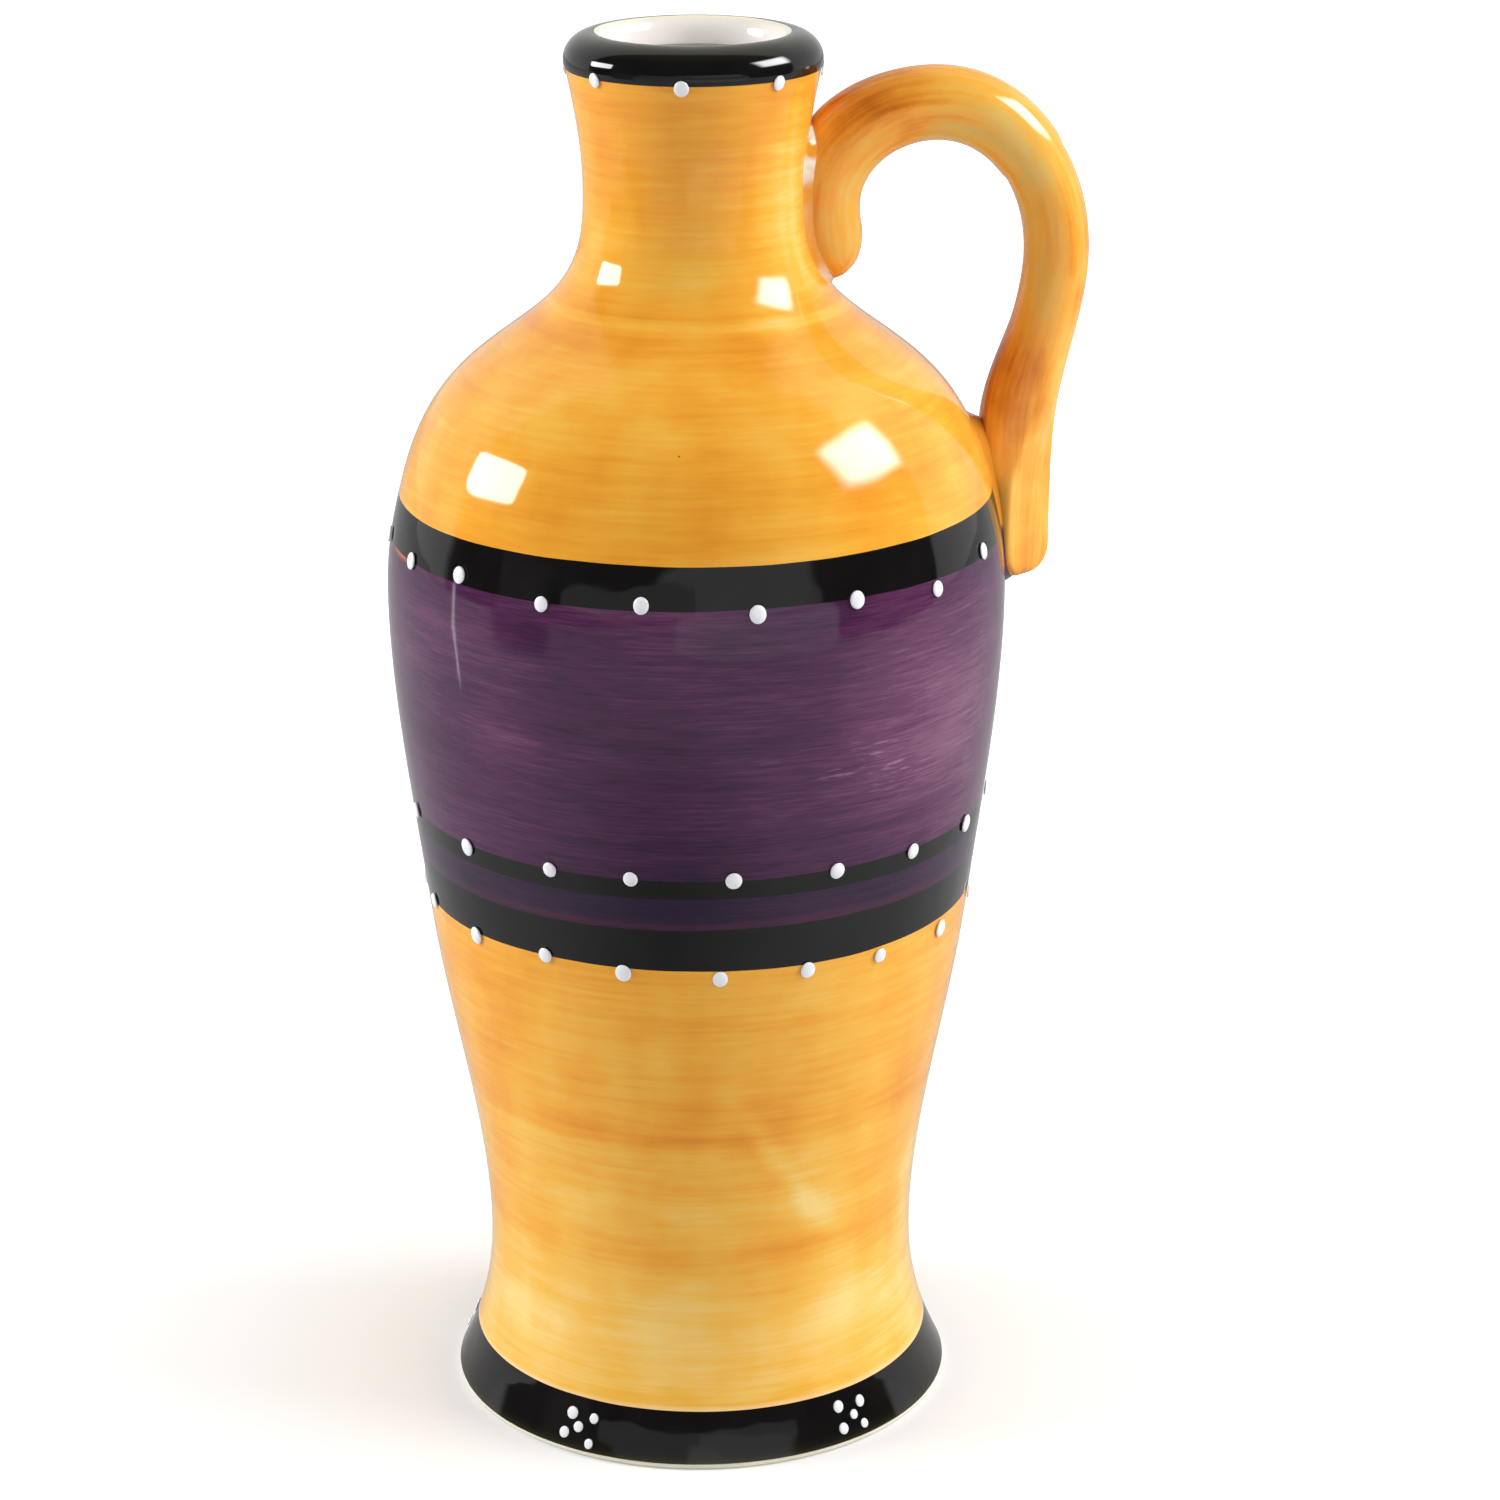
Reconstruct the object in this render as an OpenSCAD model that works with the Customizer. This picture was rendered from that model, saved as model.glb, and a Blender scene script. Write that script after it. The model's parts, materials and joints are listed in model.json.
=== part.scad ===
// Glazed earthenware bottle jar with a loop handle, painted bands and raised dots.
// Sizes in millimetres. The axis is Z, the foot stands on z = 0, the handle is on the +X side.

/* [Body] */
// Radius of the flared foot
foot_r = 47.7; // [42:0.1:56]
// Height of the waist above the table
waist_h = 29.3; // [20:0.1:40]
// Radius of the waist
waist_r = 40.2; // [34:0.1:46]
// Height from the waist to the belly
belly_h = 128.2; // [100:0.1:150]
// Radius of the belly
belly_r = 56.5; // [50:0.1:64]
// Height from the belly to the neck
neck_h = 74; // [62:0.1:86]
// Radius of the neck
neck_r = 19.8; // [18:0.1:23]
// Height from the neck to the underside of the lip
lip_up = 20.5; // [16:0.1:26]
// Radius under the lip
lip_r = 22.6; // [21:0.1:26]

/* [Lip] */
// Height of the rolled lip
lip_h = 6.2; // [5:0.1:8]
// How far the lip's crest is outside the throat
mouth_round = 2.1; // [1.8:0.1:3]
// How far the lip swells past the neck under it
lip_bulge = 0.35; // [0.2:0.05:0.8]
// Angle round the lip where the black paint stops inside the mouth
lip_paint_end = 98; // [92:1:130]

/* [Walls] */
// Thickness of the clay wall
wall_t = 3.8; // [3:0.1:4.4]
// Thickness of the outer glaze
coat_t = 0.4; // [0.3:0.05:0.6]
// Thickness of the white glaze inside
liner_t = 0.4; // [0.3:0.05:0.6]
// Extra radius reamed out of the throat to make it a true cylinder
throat_ream = 0.3; // [0.2:0.05:0.6]
// Length of the throat below the neck
throat_below = 5.5; // [4:0.1:7]
// Thickness of the clay base
base_t = 5.6; // [4:0.1:8]
// Depth of the recess under the foot
recess_h = 3; // [2:0.1:4]
// Width of the ring that meets the table
foot_ring_w = 5; // [4:0.1:7]
// How far the table face is inside the flare of the foot
foot_ease = 1; // [0.6:0.1:2]
// Rounding inside, between the wall and the floor
corner_r = 8; // [5:0.5:12]

/* [Bands] */
// Height of the bare clay line at the foot
bare_h = 1.2; // [0.8:0.1:2]
// Height of the black band on the foot
foot_band_h = 8.9; // [7.5:0.1:12]
// Height of the lower yellow coat
lower_coat_h = 90.9; // [80:0.1:100]
// Height of the lower black band
waist_band_h = 8; // [6:0.1:10]
// Height of the purple stripe
stripe_h = 6.1; // [4:0.1:8]
// Height of the thin black line
line_h = 3.6; // [3:0.1:5]
// Height of the wide purple band
purple_h = 49.7; // [44:0.1:55]
// Height of the shoulder's black band
shoulder_band_h = 7.4; // [5.5:0.1:9]

/* [Handle] */
// Thickness of the bar
handle_t = 11.8; // [10:0.1:14]
// Width of the bar
handle_w = 13; // [11:0.1:16]
// Extra thickness from the neck to the crown
crown_swell = 1.6; // [0:0.1:2.4]
// Extra thickness outside the bend over the neck
arch_swell = 1; // [0:0.1:2]
// Extra thickness inside, where the bar comes down to the shoulder
leg_swell = 1.8; // [0:0.1:3]
// How far the crown stands out from the neck's side
crown_out = 23.7; // [19:0.1:28]
// How far the bar's crown is below the lip
crown_below = 8; // [6:0.1:12]
// Rise of the bar from the neck to the crown
crown_rise = 18; // [16:0.1:24]
// Length of the curled tip down the neck
tip_l = 12.3; // [10:0.1:15]
// How far the bow stands out past the belly
bow_out = 9.2; // [4:0.1:14]
// How far the bow's widest place is below the crown
bow_below = 27; // [22:0.1:34]
// Fall of the bar from the bow to the shoulder
leg_fall = 36; // [30:0.1:42]
// Length of the lower end that lies on the belly
end_l = 24.7; // [20:0.1:30]
// Height of the bar's middle over the neck's pad
seat_rise = 1.5; // [1:0.1:3]
// Height of the bar's middle over the belly's pad
leg_rise = 1.1; // [0.8:0.1:3]
// Height of the slip pads over the glaze
pad_rise = 1.5; // [1:0.1:2]
// Rim of slip seen beside the bar
pad_rim = 1.2; // [0.8:0.1:2]

/* [Dots] */
// Diameter of a dot on the bands
dot_d = 2.9; // [2:0.1:4]
// Height of a dot on the bands
dot_h = 0.6; // [0.4:0.05:1]
// Number of dots under the lip
lip_dot_count = 8; // [6:1:10]
// Number of dots on the shoulder border
shoulder_dot_count = 17; // [12:1:20]
// Angle on each side of the handle without shoulder dots
shoulder_dot_clear = 29.7; // [16:0.1:40]
// Number of dots on the thin line
line_dot_count = 18; // [12:1:24]
// Number of dots under the lower black band
waist_dot_count = 19; // [12:1:24]
// How far those dots are below the band's edge
waist_dot_drop = 1.1; // [0:0.1:1.6]
// Number of flowers on the foot
flower_count = 5; // [3:1:7]
// Half width of a flower
flower_w = 2.5; // [2:0.1:3.2]
// Half height of a flower
flower_h = 2; // [1.7:0.1:2.4]
// Diameter of a flower's dots
petal_d = 2; // [1.4:0.1:2.3]
// Height of a flower's dots
petal_h = 0.45; // [0.3:0.05:0.8]

/* [Hidden] */
$fn = 96;

// Shape of the outline between its main places, as shares of the height and of the radius
flank_up = 0.527;
flank_out = 0.62;
shoulder_up = 0.196;
shoulder_out = 0.954;
edge_up = 0.539;
edge_out = 0.634;
collar_up = 0.733;
collar_out = 0.142;
foot_flare = 0.55;
lip_flare = 0.2;

// Turn of each row of dots from the handle, in degrees
lip_dot_turn = -101;
line_dot_turn = -9.4;
waist_dot_turn = -91.8;
flower_turn = -55.8;

// Longest stretch of the outline drawn straight, outside and inside
row_step = 3.2;
hollow_step = 5;

// Heights of the main places
waist_z = waist_h;
belly_z = waist_z + belly_h;
neck_z = belly_z + neck_h;
lip_z = neck_z + lip_up;

// The glazed outline, from the foot to the lip
stations = [
    [0, foot_r],
    [waist_z, waist_r],
    [waist_z + flank_up * belly_h, waist_r + flank_out * (belly_r - waist_r)],
    [belly_z, belly_r],
    [belly_z + shoulder_up * neck_h, neck_r + shoulder_out * (belly_r - neck_r)],
    [belly_z + edge_up * neck_h, neck_r + edge_out * (belly_r - neck_r)],
    [belly_z + collar_up * neck_h, neck_r + collar_out * (belly_r - neck_r)],
    [neck_z, neck_r],
    [lip_z, lip_r]
];
last = len(stations) - 1;

function span(i) = stations[i + 1][0] - stations[i][0];
function chord(i) = (stations[i + 1][1] - stations[i][1]) / span(i);
function bend(i) =
    i == 0 ? -foot_flare :
    i == last ? lip_flare :
    chord(i - 1) * chord(i) <= 0 ? 0 :
    (chord(i - 1) * span(i) + chord(i) * span(i - 1)) / (span(i - 1) + span(i));
bends = [for (i = [0 : last]) bend(i)];

function stretch(z, i = 0) = i >= last - 1 || z <= stations[i + 1][0] ? i : stretch(z, i + 1);
function share(z, i) = (z - stations[i][0]) / span(i);
function wall_r(z) =
    let (i = stretch(z), s = share(z, i))
    stations[i][1] * (1 + 2 * s) * pow(1 - s, 2) + bends[i] * span(i) * s * pow(1 - s, 2)
    + stations[i + 1][1] * s * s * (3 - 2 * s) + bends[i + 1] * span(i) * s * s * (s - 1);
function wall_slope(z) =
    let (i = stretch(z), s = share(z, i))
    6 * s * (1 - s) * chord(i) + bends[i] * (1 - 4 * s + 3 * s * s) + bends[i + 1] * (3 * s * s - 2 * s);

// Radius at a depth under the glazed outline, measured square to the wall
function under_r(z, depth) = wall_r(z) - depth * sqrt(1 + pow(wall_slope(z), 2));

function rows(low, high, step) =
    let (n = ceil((high - low) / step))
    [for (i = [0 : n]) low + (high - low) * i / n];
function turned(list) = [for (i = [len(list) - 1 : -1 : 0]) list[i]];

// Edges of the painted bands, from the foot up
foot_band_z = bare_h;
lower_coat_z = foot_band_z + foot_band_h;
waist_band_z = lower_coat_z + lower_coat_h;
stripe_z = waist_band_z + waist_band_h;
line_z = stripe_z + stripe_h;
purple_z = line_z + line_h;
shoulder_band_z = purple_z + purple_h;
neck_coat_z = shoulder_band_z + shoulder_band_h;
edges = [
    foot_band_z, lower_coat_z, waist_band_z, stripe_z, line_z,
    purple_z, shoulder_band_z, neck_coat_z, lip_z
];

// Every height used on the outside, so that coats and clay share their faces
levels = concat(
    [for (i = [0 : len(edges) - 2])
        for (z = rows(edges[i], edges[i + 1], row_step))
            if (z < edges[i + 1] - 0.001) z],
    [lip_z]
);

// The rolled lip is an ellipse outside its crest and a narrower one down into the throat
throat_r = neck_r - coat_t - wall_t - liner_t + throat_ream;
crest_r = throat_r + mouth_round;
lip_a = lip_r + lip_bulge - crest_r;
lip_start = -acos(1 - lip_bulge / lip_a);
lip_b = lip_h / (1 - sin(lip_start));
lip_mid = lip_z - lip_b * sin(lip_start);
function lip_half(t) = t < 90 ? lip_a : mouth_round;
function lip_point(t) = [crest_r + lip_half(t) * cos(t), lip_mid + lip_b * sin(t)];
function lip_out(t) = let (n = [cos(t) / lip_half(t), sin(t) / lip_b]) n / norm(n);
function lip_under(t, depth) = lip_point(t) - depth * lip_out(t);
lip_turns = concat(rows(lip_start, 90, 10), [lip_paint_end]);
mouth_turns = rows(lip_paint_end, 180, 10);

// The hollow, as the glaze leaves it and as the clay leaves it
throat_low = neck_z - throat_below;
floor_z = recess_h + base_t + liner_t;
corner_z = floor_z + corner_r;
hollow_rows = rows(corner_z, throat_low, hollow_step);
function hollow_r(z) = max(throat_r, under_r(z, coat_t + wall_t + liner_t));
function clay_hollow_r(z) = max(throat_r + liner_t, under_r(z, coat_t + wall_t));
function corner(wall, r) = [for (a = [-90 : 15 : -15]) [wall - r + r * cos(a), corner_z + r * sin(a)]];
hollow_line = concat(
    [[0, floor_z]],
    corner(hollow_r(corner_z), corner_r),
    [for (z = hollow_rows) [hollow_r(z), z]],
    [for (t = turned(mouth_turns)) lip_point(t)]
);
clay_hollow_line = concat(
    [[0, floor_z - liner_t]],
    corner(clay_hollow_r(corner_z), corner_r + liner_t),
    [for (z = hollow_rows) [clay_hollow_r(z), z]],
    [for (t = turned(mouth_turns)) lip_under(t, liner_t)]
);

// The foot ring
foot_face_r = foot_r - foot_ease;
foot_ring_r = foot_face_r - foot_ring_w;

// Outline of the clay outside, and of the lip's paint
clay_line = [for (z = levels) [under_r(z, coat_t), z]];
lip_line = [for (t = lip_turns) lip_point(t)];
clay_lip_line = [for (i = [1 : len(lip_turns) - 1]) lip_under(lip_turns[i], coat_t)];

// Places on the handle's line
crown_z = lip_z - crown_below;
crown_x = neck_r + crown_out;
seat_z = crown_z - crown_rise;
tip_z = seat_z - tip_l;
bow_x = belly_r + bow_out;
bow_z = crown_z - bow_below;
leg_z = bow_z - leg_fall;
end_z = leg_z - end_l;
leg_x = belly_r + pad_rise + leg_rise;
function pad_r(z) = wall_r(z) + pad_rise;
function seat_x(z) = pad_r(z) + seat_rise;
function ease(s) = s * s * (3 - 2 * s);

// The bar's middle line: up the neck, over the crown, down the bow and onto the belly
bar_line = concat(
    [for (z = rows(tip_z, seat_z, 2)) [seat_x(z), z]],
    [for (a = [10 : 10 : 90])
        [crown_x - (crown_x - seat_x(seat_z)) * cos(a), seat_z + crown_rise * sin(a)]],
    [for (a = [80 : -10 : 0]) [crown_x + (bow_x - crown_x) * cos(a), bow_z + bow_below * sin(a)]],
    [for (i = [1 : 12]) [bow_x + (leg_x - bow_x) * ease(i / 12), bow_z - leg_fall * i / 12]],
    [for (i = [1 : 14]) [leg_x, leg_z - end_l * sin(i * 90 / 14)]]
);
bar_last = len(bar_line) - 1;
bar_sides = 24;
tip_round = tip_l * 0.75;
end_round = handle_t / 2;

// The bar thins to a rounded tip at each end
function rounded(d, l) = d >= l ? 1 : sqrt(max(0.0025, 1 - pow(1 - d / l, 2)));
function bar_share(p, i) =
    i < bar_last / 2 ? rounded(p[1] - tip_z, p[0] < crown_x / 2 + neck_r / 2 ? tip_round : 0.001)
    : rounded(p[1] - end_z, end_round);
function bar_swell(p, i) =
    i > bar_last / 2 ? 0 : crown_swell * (1 - pow(max(0, p[0] - crown_x) / (bow_x - crown_x), 2));
function arch_extra(p) = let (s = (p[1] - seat_z) / crown_rise) arch_swell * 4 * max(0, s * (1 - s));
function leg_extra(p) =
    let (s = (p[1] - leg_z - leg_fall / 6) / (leg_fall / 2))
    leg_swell * pow(max(0, 1 - s * s), 2);
function bar_way(i) =
    let (d = bar_line[min(i + 1, bar_last)] - bar_line[max(i - 1, 0)]) d / norm(d);

// Where the bar meets a pad, its side is pressed onto the pad
function pressed(p) =
    let (limit = pad_r(min(p[2], lip_z)))
    [max(p[0], sqrt(max(0, limit * limit - p[1] * p[1]))), p[1], p[2]];
bar_points = [
    for (i = [0 : bar_last])
        let (
            c = bar_line[i], way = bar_way(i), k = bar_share(c, i),
            half_t = k * (handle_t + bar_swell(c, i)) / 2, half_w = k * handle_w / 2,
            inner_t = half_t + (i > bar_last / 2 ? k * leg_extra(c) : 0),
            outer_t = half_t + (c[0] < crown_x ? k * arch_extra(c) : 0)
        )
        for (j = [0 : bar_sides - 1])
            let (a = 360 * j / bar_sides, n = (cos(a) > 0 ? inner_t : outer_t) * cos(a))
            pressed([c[0] + way[1] * n, half_w * sin(a), c[1] - way[0] * n])
];
bar_faces = concat(
    [for (i = [0 : bar_last - 1]) for (j = [0 : bar_sides - 1])
        let (k = (j + 1) % bar_sides, a = i * bar_sides, b = a + bar_sides)
        [a + j, b + j, b + k]],
    [for (i = [0 : bar_last - 1]) for (j = [0 : bar_sides - 1])
        let (k = (j + 1) % bar_sides, a = i * bar_sides, b = a + bar_sides)
        [a + j, b + k, a + k]],
    [for (j = [1 : bar_sides - 2]) [0, j, j + 1]],
    [for (j = [1 : bar_sides - 2]) let (a = bar_last * bar_sides) [a, a + j + 1, a + j]]
);

// The pads reach a little past the pressed ends of the bar
pad_w = handle_w / 2 + pad_rim;
upper_pad = [tip_z - pad_rim, seat_z + crown_rise / 2 + handle_t / 2 + pad_rim];
lower_pad = [end_z - pad_rim, leg_z + handle_t / 2 + pad_rim];

// A ring between the depths under and over the glazed outline
module ring(heights, depth, rise) {
    rotate_extrude()
        polygon(concat(
            [for (z = heights) [wall_r(z) + rise, z]],
            [for (z = turned(heights)) [under_r(z, depth), z]]
        ));
}

module coat(low, high) {
    ring(rows(low, high, row_step), coat_t, 0);
}

// A round-ended bar through the wall on the handle's side, the outline of a pad
module pad_cut(span) {
    top = span[1] - pad_w;
    low = span[0] + pad_w;
    rotate([90, 0, 90])
        linear_extrude(belly_r + bow_out)
            polygon(concat(
                [for (a = [0 : 15 : 180]) [pad_w * cos(a), top + pad_w * sin(a)]],
                [for (a = [180 : 15 : 360]) [pad_w * cos(a), low + pad_w * sin(a)]]
            ));
}

module pad(span) {
    heights = [for (z = levels) if (z > span[0] - row_step * 1.5 && z < span[1] + row_step * 1.5) z];
    intersection() {
        ring(heights, coat_t, pad_rise);
        pad_cut(span);
    }
}

// One raised dot, set on the glaze at a turn and a height
module dot(turn, z, d, h) {
    tilt = atan(wall_slope(z));
    ball = (d * d / 4 + h * h) / (2 * h);
    half = asin(min(1, d / 2 / ball));
    rotate([0, 0, turn])
        translate([wall_r(z), 0, z])
            rotate([0, 90 + tilt, 0])
                rotate_extrude($fn = 24)
                    polygon(concat(
                        [[0, 0]],
                        [for (i = [0 : 5])
                            let (a = half * (1 - i / 6)) [ball * sin(a), ball * cos(a) - ball + h]],
                        [[0, h]]
                    ));
}

module clay_body() {
    color("#e9dcc0")
        rotate_extrude()
            polygon(concat(
                [[0, recess_h], [foot_ring_r - recess_h / 2, recess_h], [foot_ring_r, 0], [foot_face_r, 0]],
                clay_line,
                clay_lip_line,
                turned(clay_hollow_line)
            ));
}

module inner_glaze() {
    color("#ece7e4")
        rotate_extrude()
            polygon(concat(clay_hollow_line, turned(hollow_line)));
}

module foot_band() {
    color("#131214")
        coat(foot_band_z, lower_coat_z);
}

module lower_coat() {
    color("#e5a13c")
        coat(lower_coat_z, waist_band_z);
}

module waist_band() {
    color("#131214")
        coat(waist_band_z, stripe_z);
}

module purple_stripe() {
    color("#4b2d55")
        coat(stripe_z, line_z);
}

module belly_line() {
    color("#131214")
        coat(line_z, purple_z);
}

module purple_band() {
    color("#4b2d55")
        difference() {
            coat(purple_z, shoulder_band_z);
            pad_cut(lower_pad);
        }
}

module shoulder_band() {
    color("#131214")
        difference() {
            coat(shoulder_band_z, neck_coat_z);
            pad_cut(lower_pad);
        }
}

module neck_coat() {
    color("#e5a13c")
        difference() {
            coat(neck_coat_z, lip_z);
            pad_cut(lower_pad);
            pad_cut(upper_pad);
        }
}

module lip_band() {
    color("#131214")
        rotate_extrude()
            polygon(concat(lip_line, turned(clay_lip_line), [[under_r(lip_z, coat_t), lip_z]]));
}

module handle() {
    color("#e5a13c")
        polyhedron(points = bar_points, faces = bar_faces, convexity = 6);
}

module upper_slip_pad() {
    color("#d99635")
        pad(upper_pad);
}

module lower_slip_pad() {
    color("#3d2a45")
        pad(lower_pad);
}

module lip_dots() {
    color("#dfe3ea")
        for (i = [0 : lip_dot_count - 1])
            dot(lip_dot_turn + 360 * i / lip_dot_count, lip_z, dot_d, dot_h);
}

module shoulder_dots() {
    color("#dfe3ea")
        for (i = [0 : shoulder_dot_count - 1])
            dot(
                shoulder_dot_clear + (360 - 2 * shoulder_dot_clear) * i / (shoulder_dot_count - 1),
                shoulder_band_z, dot_d, dot_h
            );
}

module line_dots() {
    color("#dfe3ea")
        for (i = [0 : line_dot_count - 1])
            dot(line_dot_turn + 360 * i / line_dot_count, purple_z, dot_d, dot_h);
}

module waist_dots() {
    color("#dfe3ea")
        for (i = [0 : waist_dot_count - 1])
            dot(waist_dot_turn + 360 * i / waist_dot_count, waist_band_z - waist_dot_drop, dot_d, dot_h);
}

module foot_flowers() {
    middle = foot_band_z + foot_band_h * 0.44;
    swing = flower_w / wall_r(middle) * 180 / PI;
    color("#dfe3ea")
        for (i = [0 : flower_count - 1])
            for (p = [[0, 0], [-1, 1], [1, 1], [-1, -1], [1, -1]])
                dot(
                    flower_turn + 360 * i / flower_count + p[0] * swing,
                    middle + p[1] * flower_h, petal_d, petal_h
                );
}

clay_body();
inner_glaze();
foot_band();
lower_coat();
waist_band();
purple_stripe();
belly_line();
purple_band();
shoulder_band();
neck_coat();
lip_band();
handle();
upper_slip_pad();
lower_slip_pad();
lip_dots();
shoulder_dots();
line_dots();
waist_dots();
foot_flowers();
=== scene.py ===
import json
import math
import random

import bpy
import numpy as np
from mathutils import Matrix, Vector, noise


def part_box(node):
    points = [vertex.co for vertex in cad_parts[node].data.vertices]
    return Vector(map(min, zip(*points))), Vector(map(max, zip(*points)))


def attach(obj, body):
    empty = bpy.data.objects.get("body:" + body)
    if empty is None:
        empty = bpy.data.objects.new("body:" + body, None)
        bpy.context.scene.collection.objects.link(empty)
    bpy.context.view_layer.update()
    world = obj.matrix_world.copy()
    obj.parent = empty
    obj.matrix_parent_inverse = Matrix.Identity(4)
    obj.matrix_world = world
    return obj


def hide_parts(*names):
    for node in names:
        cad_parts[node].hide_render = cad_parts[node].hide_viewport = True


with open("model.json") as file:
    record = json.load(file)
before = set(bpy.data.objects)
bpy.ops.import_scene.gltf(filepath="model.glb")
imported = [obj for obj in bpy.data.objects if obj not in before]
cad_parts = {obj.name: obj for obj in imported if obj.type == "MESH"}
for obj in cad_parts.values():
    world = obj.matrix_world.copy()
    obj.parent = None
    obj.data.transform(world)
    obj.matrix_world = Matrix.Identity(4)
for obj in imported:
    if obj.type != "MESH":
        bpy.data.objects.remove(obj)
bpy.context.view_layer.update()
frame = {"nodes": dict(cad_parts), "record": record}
mm = 0.001
print("frame loaded:", len(frame["nodes"]), "CAD nodes")

# Camera, fitted to the photograph as a frame of 1500 x 1500 pixels
viewpoint = {
    "frameWidth": 1500,
    "focalLength": 4061,  # in pixels of that frame
    "sensor": 36.0,
    "distance": 714.95 * mm,  # level, from the jar's axis
    "height": 368.8 * mm,
    "azimuth": -6.0,  # degrees round the jar, 0 looks along +Y
    "pitch": 18.85,  # degrees down
    "yaw": 0.78,  # degrees to the right of the axis
    "roll": -0.11,
    "clipStart": 10 * mm,
}


def addShape(add, name, **sizes):
    # a new mesh, lamp or camera, selected alone
    bpy.ops.object.select_all(action="DESELECT")
    add(**sizes)
    shape = bpy.context.object
    shape.name = name
    shape.data.name = name
    return shape


def makeCamera():
    azimuth = math.radians(viewpoint["azimuth"])
    place = Vector((math.sin(azimuth), -math.cos(azimuth), 0)) * viewpoint["distance"]
    place.z = viewpoint["height"]
    heading = Matrix.Rotation(azimuth - math.radians(viewpoint["yaw"]), 4, "Z")
    tilt = Matrix.Rotation(math.radians(90 - viewpoint["pitch"]), 4, "X")
    roll = Matrix.Rotation(math.radians(viewpoint["roll"]), 4, "Z")
    camera = addShape(bpy.ops.object.camera_add, "photoCamera")
    camera.matrix_world = Matrix.Translation(place) @ heading @ tilt @ roll
    camera.data.sensor_width = viewpoint["sensor"]
    camera.data.lens = viewpoint["focalLength"] / viewpoint["frameWidth"] * viewpoint["sensor"]
    camera.data.clip_start = viewpoint["clipStart"]
    bpy.context.scene.camera = camera


makeCamera()
print("camera set")

# The turned wall is read from the coats' own points, on the side away from the handle
coatNodes = ["foot_band", "lower_coat", "waist_band", "purple_stripe", "belly_line",
             "purple_band", "shoulder_band", "neck_coat"]
wheel = {
    "gridStep": 0.25 * mm,
    "smoothing": 160,  # passes that even out the wall's curve
    "turns": 288,  # points round each ring
    "rowStep": 1.1 * mm,
    "leastRows": 4,
    "hiddenStep": 4 * mm,  # rows that no one sees, inside the wall
    "mergeGap": 0.002 * mm,
    "onAxis": 0.01 * mm,  # a point this near the axis stays where it is
    "smoothAngle": 40,
}


def pointsOf(node):
    found = []
    for vert in frame["nodes"][node].data.vertices:
        if vert.co.x < 0:
            found.append((math.hypot(vert.co.x, vert.co.y), vert.co.z))
    return np.array(found)


def evenOut(values, passes):
    for _ in range(passes):
        values[1:-1] = (values[:-2] + 2 * values[1:-1] + values[2:]) / 4


def readWall():
    rows = {}
    for node in coatNodes:
        for radius, height in pointsOf(node):
            key = round(float(height), 6)
            rows[key] = max(radius, rows.get(key, 0))
    heights = sorted(rows)
    grid = np.arange(heights[0], heights[-1] + wheel["gridStep"] / 2, wheel["gridStep"])
    radii = np.interp(grid, heights, [rows[height] for height in heights])
    evenOut(radii, wheel["smoothing"])
    return grid, radii


wallGrid, wallRadii = readWall()
wallSlopes = np.gradient(wallRadii, wallGrid)
lineRows = pointsOf("belly_line")
lineFoot = lineRows[lineRows[:, 1] < lineRows[:, 1].min() + wheel["gridStep"], 0]
coatDepth = float(lineFoot.max() - lineFoot.min())


def wallRadius(height):
    return float(np.interp(height, wallGrid, wallRadii))


def wallNormal(angle, height):
    slope = float(np.interp(height, wallGrid, wallSlopes))
    return Vector((math.cos(angle), math.sin(angle), -slope)).normalized()


# Painted edges wander a little, as a hand-held brush does on the wheel
brushEdge = {
    "sway": 0.55 * mm,
    "ripple": 0.1 * mm,
    "rippleTurns": 6,
    "apart": 3.7,  # so that no two edges wander alike
    "steady": [0.25, 0.5, 1, 0.7, 0.6, 0.6, 1, 1, 0],  # share of the sway on each edge, foot to lip
}
edgeHeights = [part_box(node)[0].z for node in coatNodes] + [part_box("neck_coat")[1].z]


def edgeHeight(number, angle):
    if angle is None:
        return edgeHeights[number]
    spot = Vector((math.cos(angle), math.sin(angle), brushEdge["apart"] * number))
    drift = brushEdge["sway"] * noise.noise(spot)
    drift += brushEdge["ripple"] * noise.noise(spot * brushEdge["rippleTurns"])
    return edgeHeights[number] + brushEdge["steady"][number] * drift


def hexColor(text):
    channels = []
    for start in (1, 3, 5):
        value = int(text[start:start + 2], 16) / 255
        channels.append(value / 12.92 if value <= 0.04045 else ((value + 0.055) / 1.055) ** 2.4)
    return (*channels, 1)


def addNode(tree, kind, feeds=None, stops=(), **settings):
    # a feed is a plain value, a socket, or a node that gives its first output; stops fill a colour ramp
    node = tree.nodes.new("ShaderNode" + kind)
    for key, value in settings.items():
        setattr(node, key, value)
    if stops:
        elements = node.color_ramp.elements
        while len(elements) < len(stops):
            elements.new(1)
        for element, (place, color) in zip(elements, stops):
            element.position = place
            element.color = color
    for key, feed in (feeds or {}).items():
        if isinstance(feed, bpy.types.Node):
            feed = feed.outputs[0]
        if isinstance(feed, bpy.types.NodeSocket):
            tree.links.new(feed, node.inputs[key])
        else:
            node.inputs[key].default_value = feed
    return node


def startMaterial(name):
    material = bpy.data.materials.new(name)
    material.use_nodes = True
    tree = material.node_tree
    tree.nodes.clear()
    spot = addNode(tree, "TexCoord").outputs["Object"]
    return material, tree, spot


def finishMaterial(tree, feeds):
    shader = addNode(tree, "BsdfPrincipled", feeds)
    addNode(tree, "OutputMaterial", {"Surface": shader})


noiseMiddle = 0.5  # what the noise textures give on average
markDepth = 12 * mm  # how deep a mark reaches through the curved wall


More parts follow.
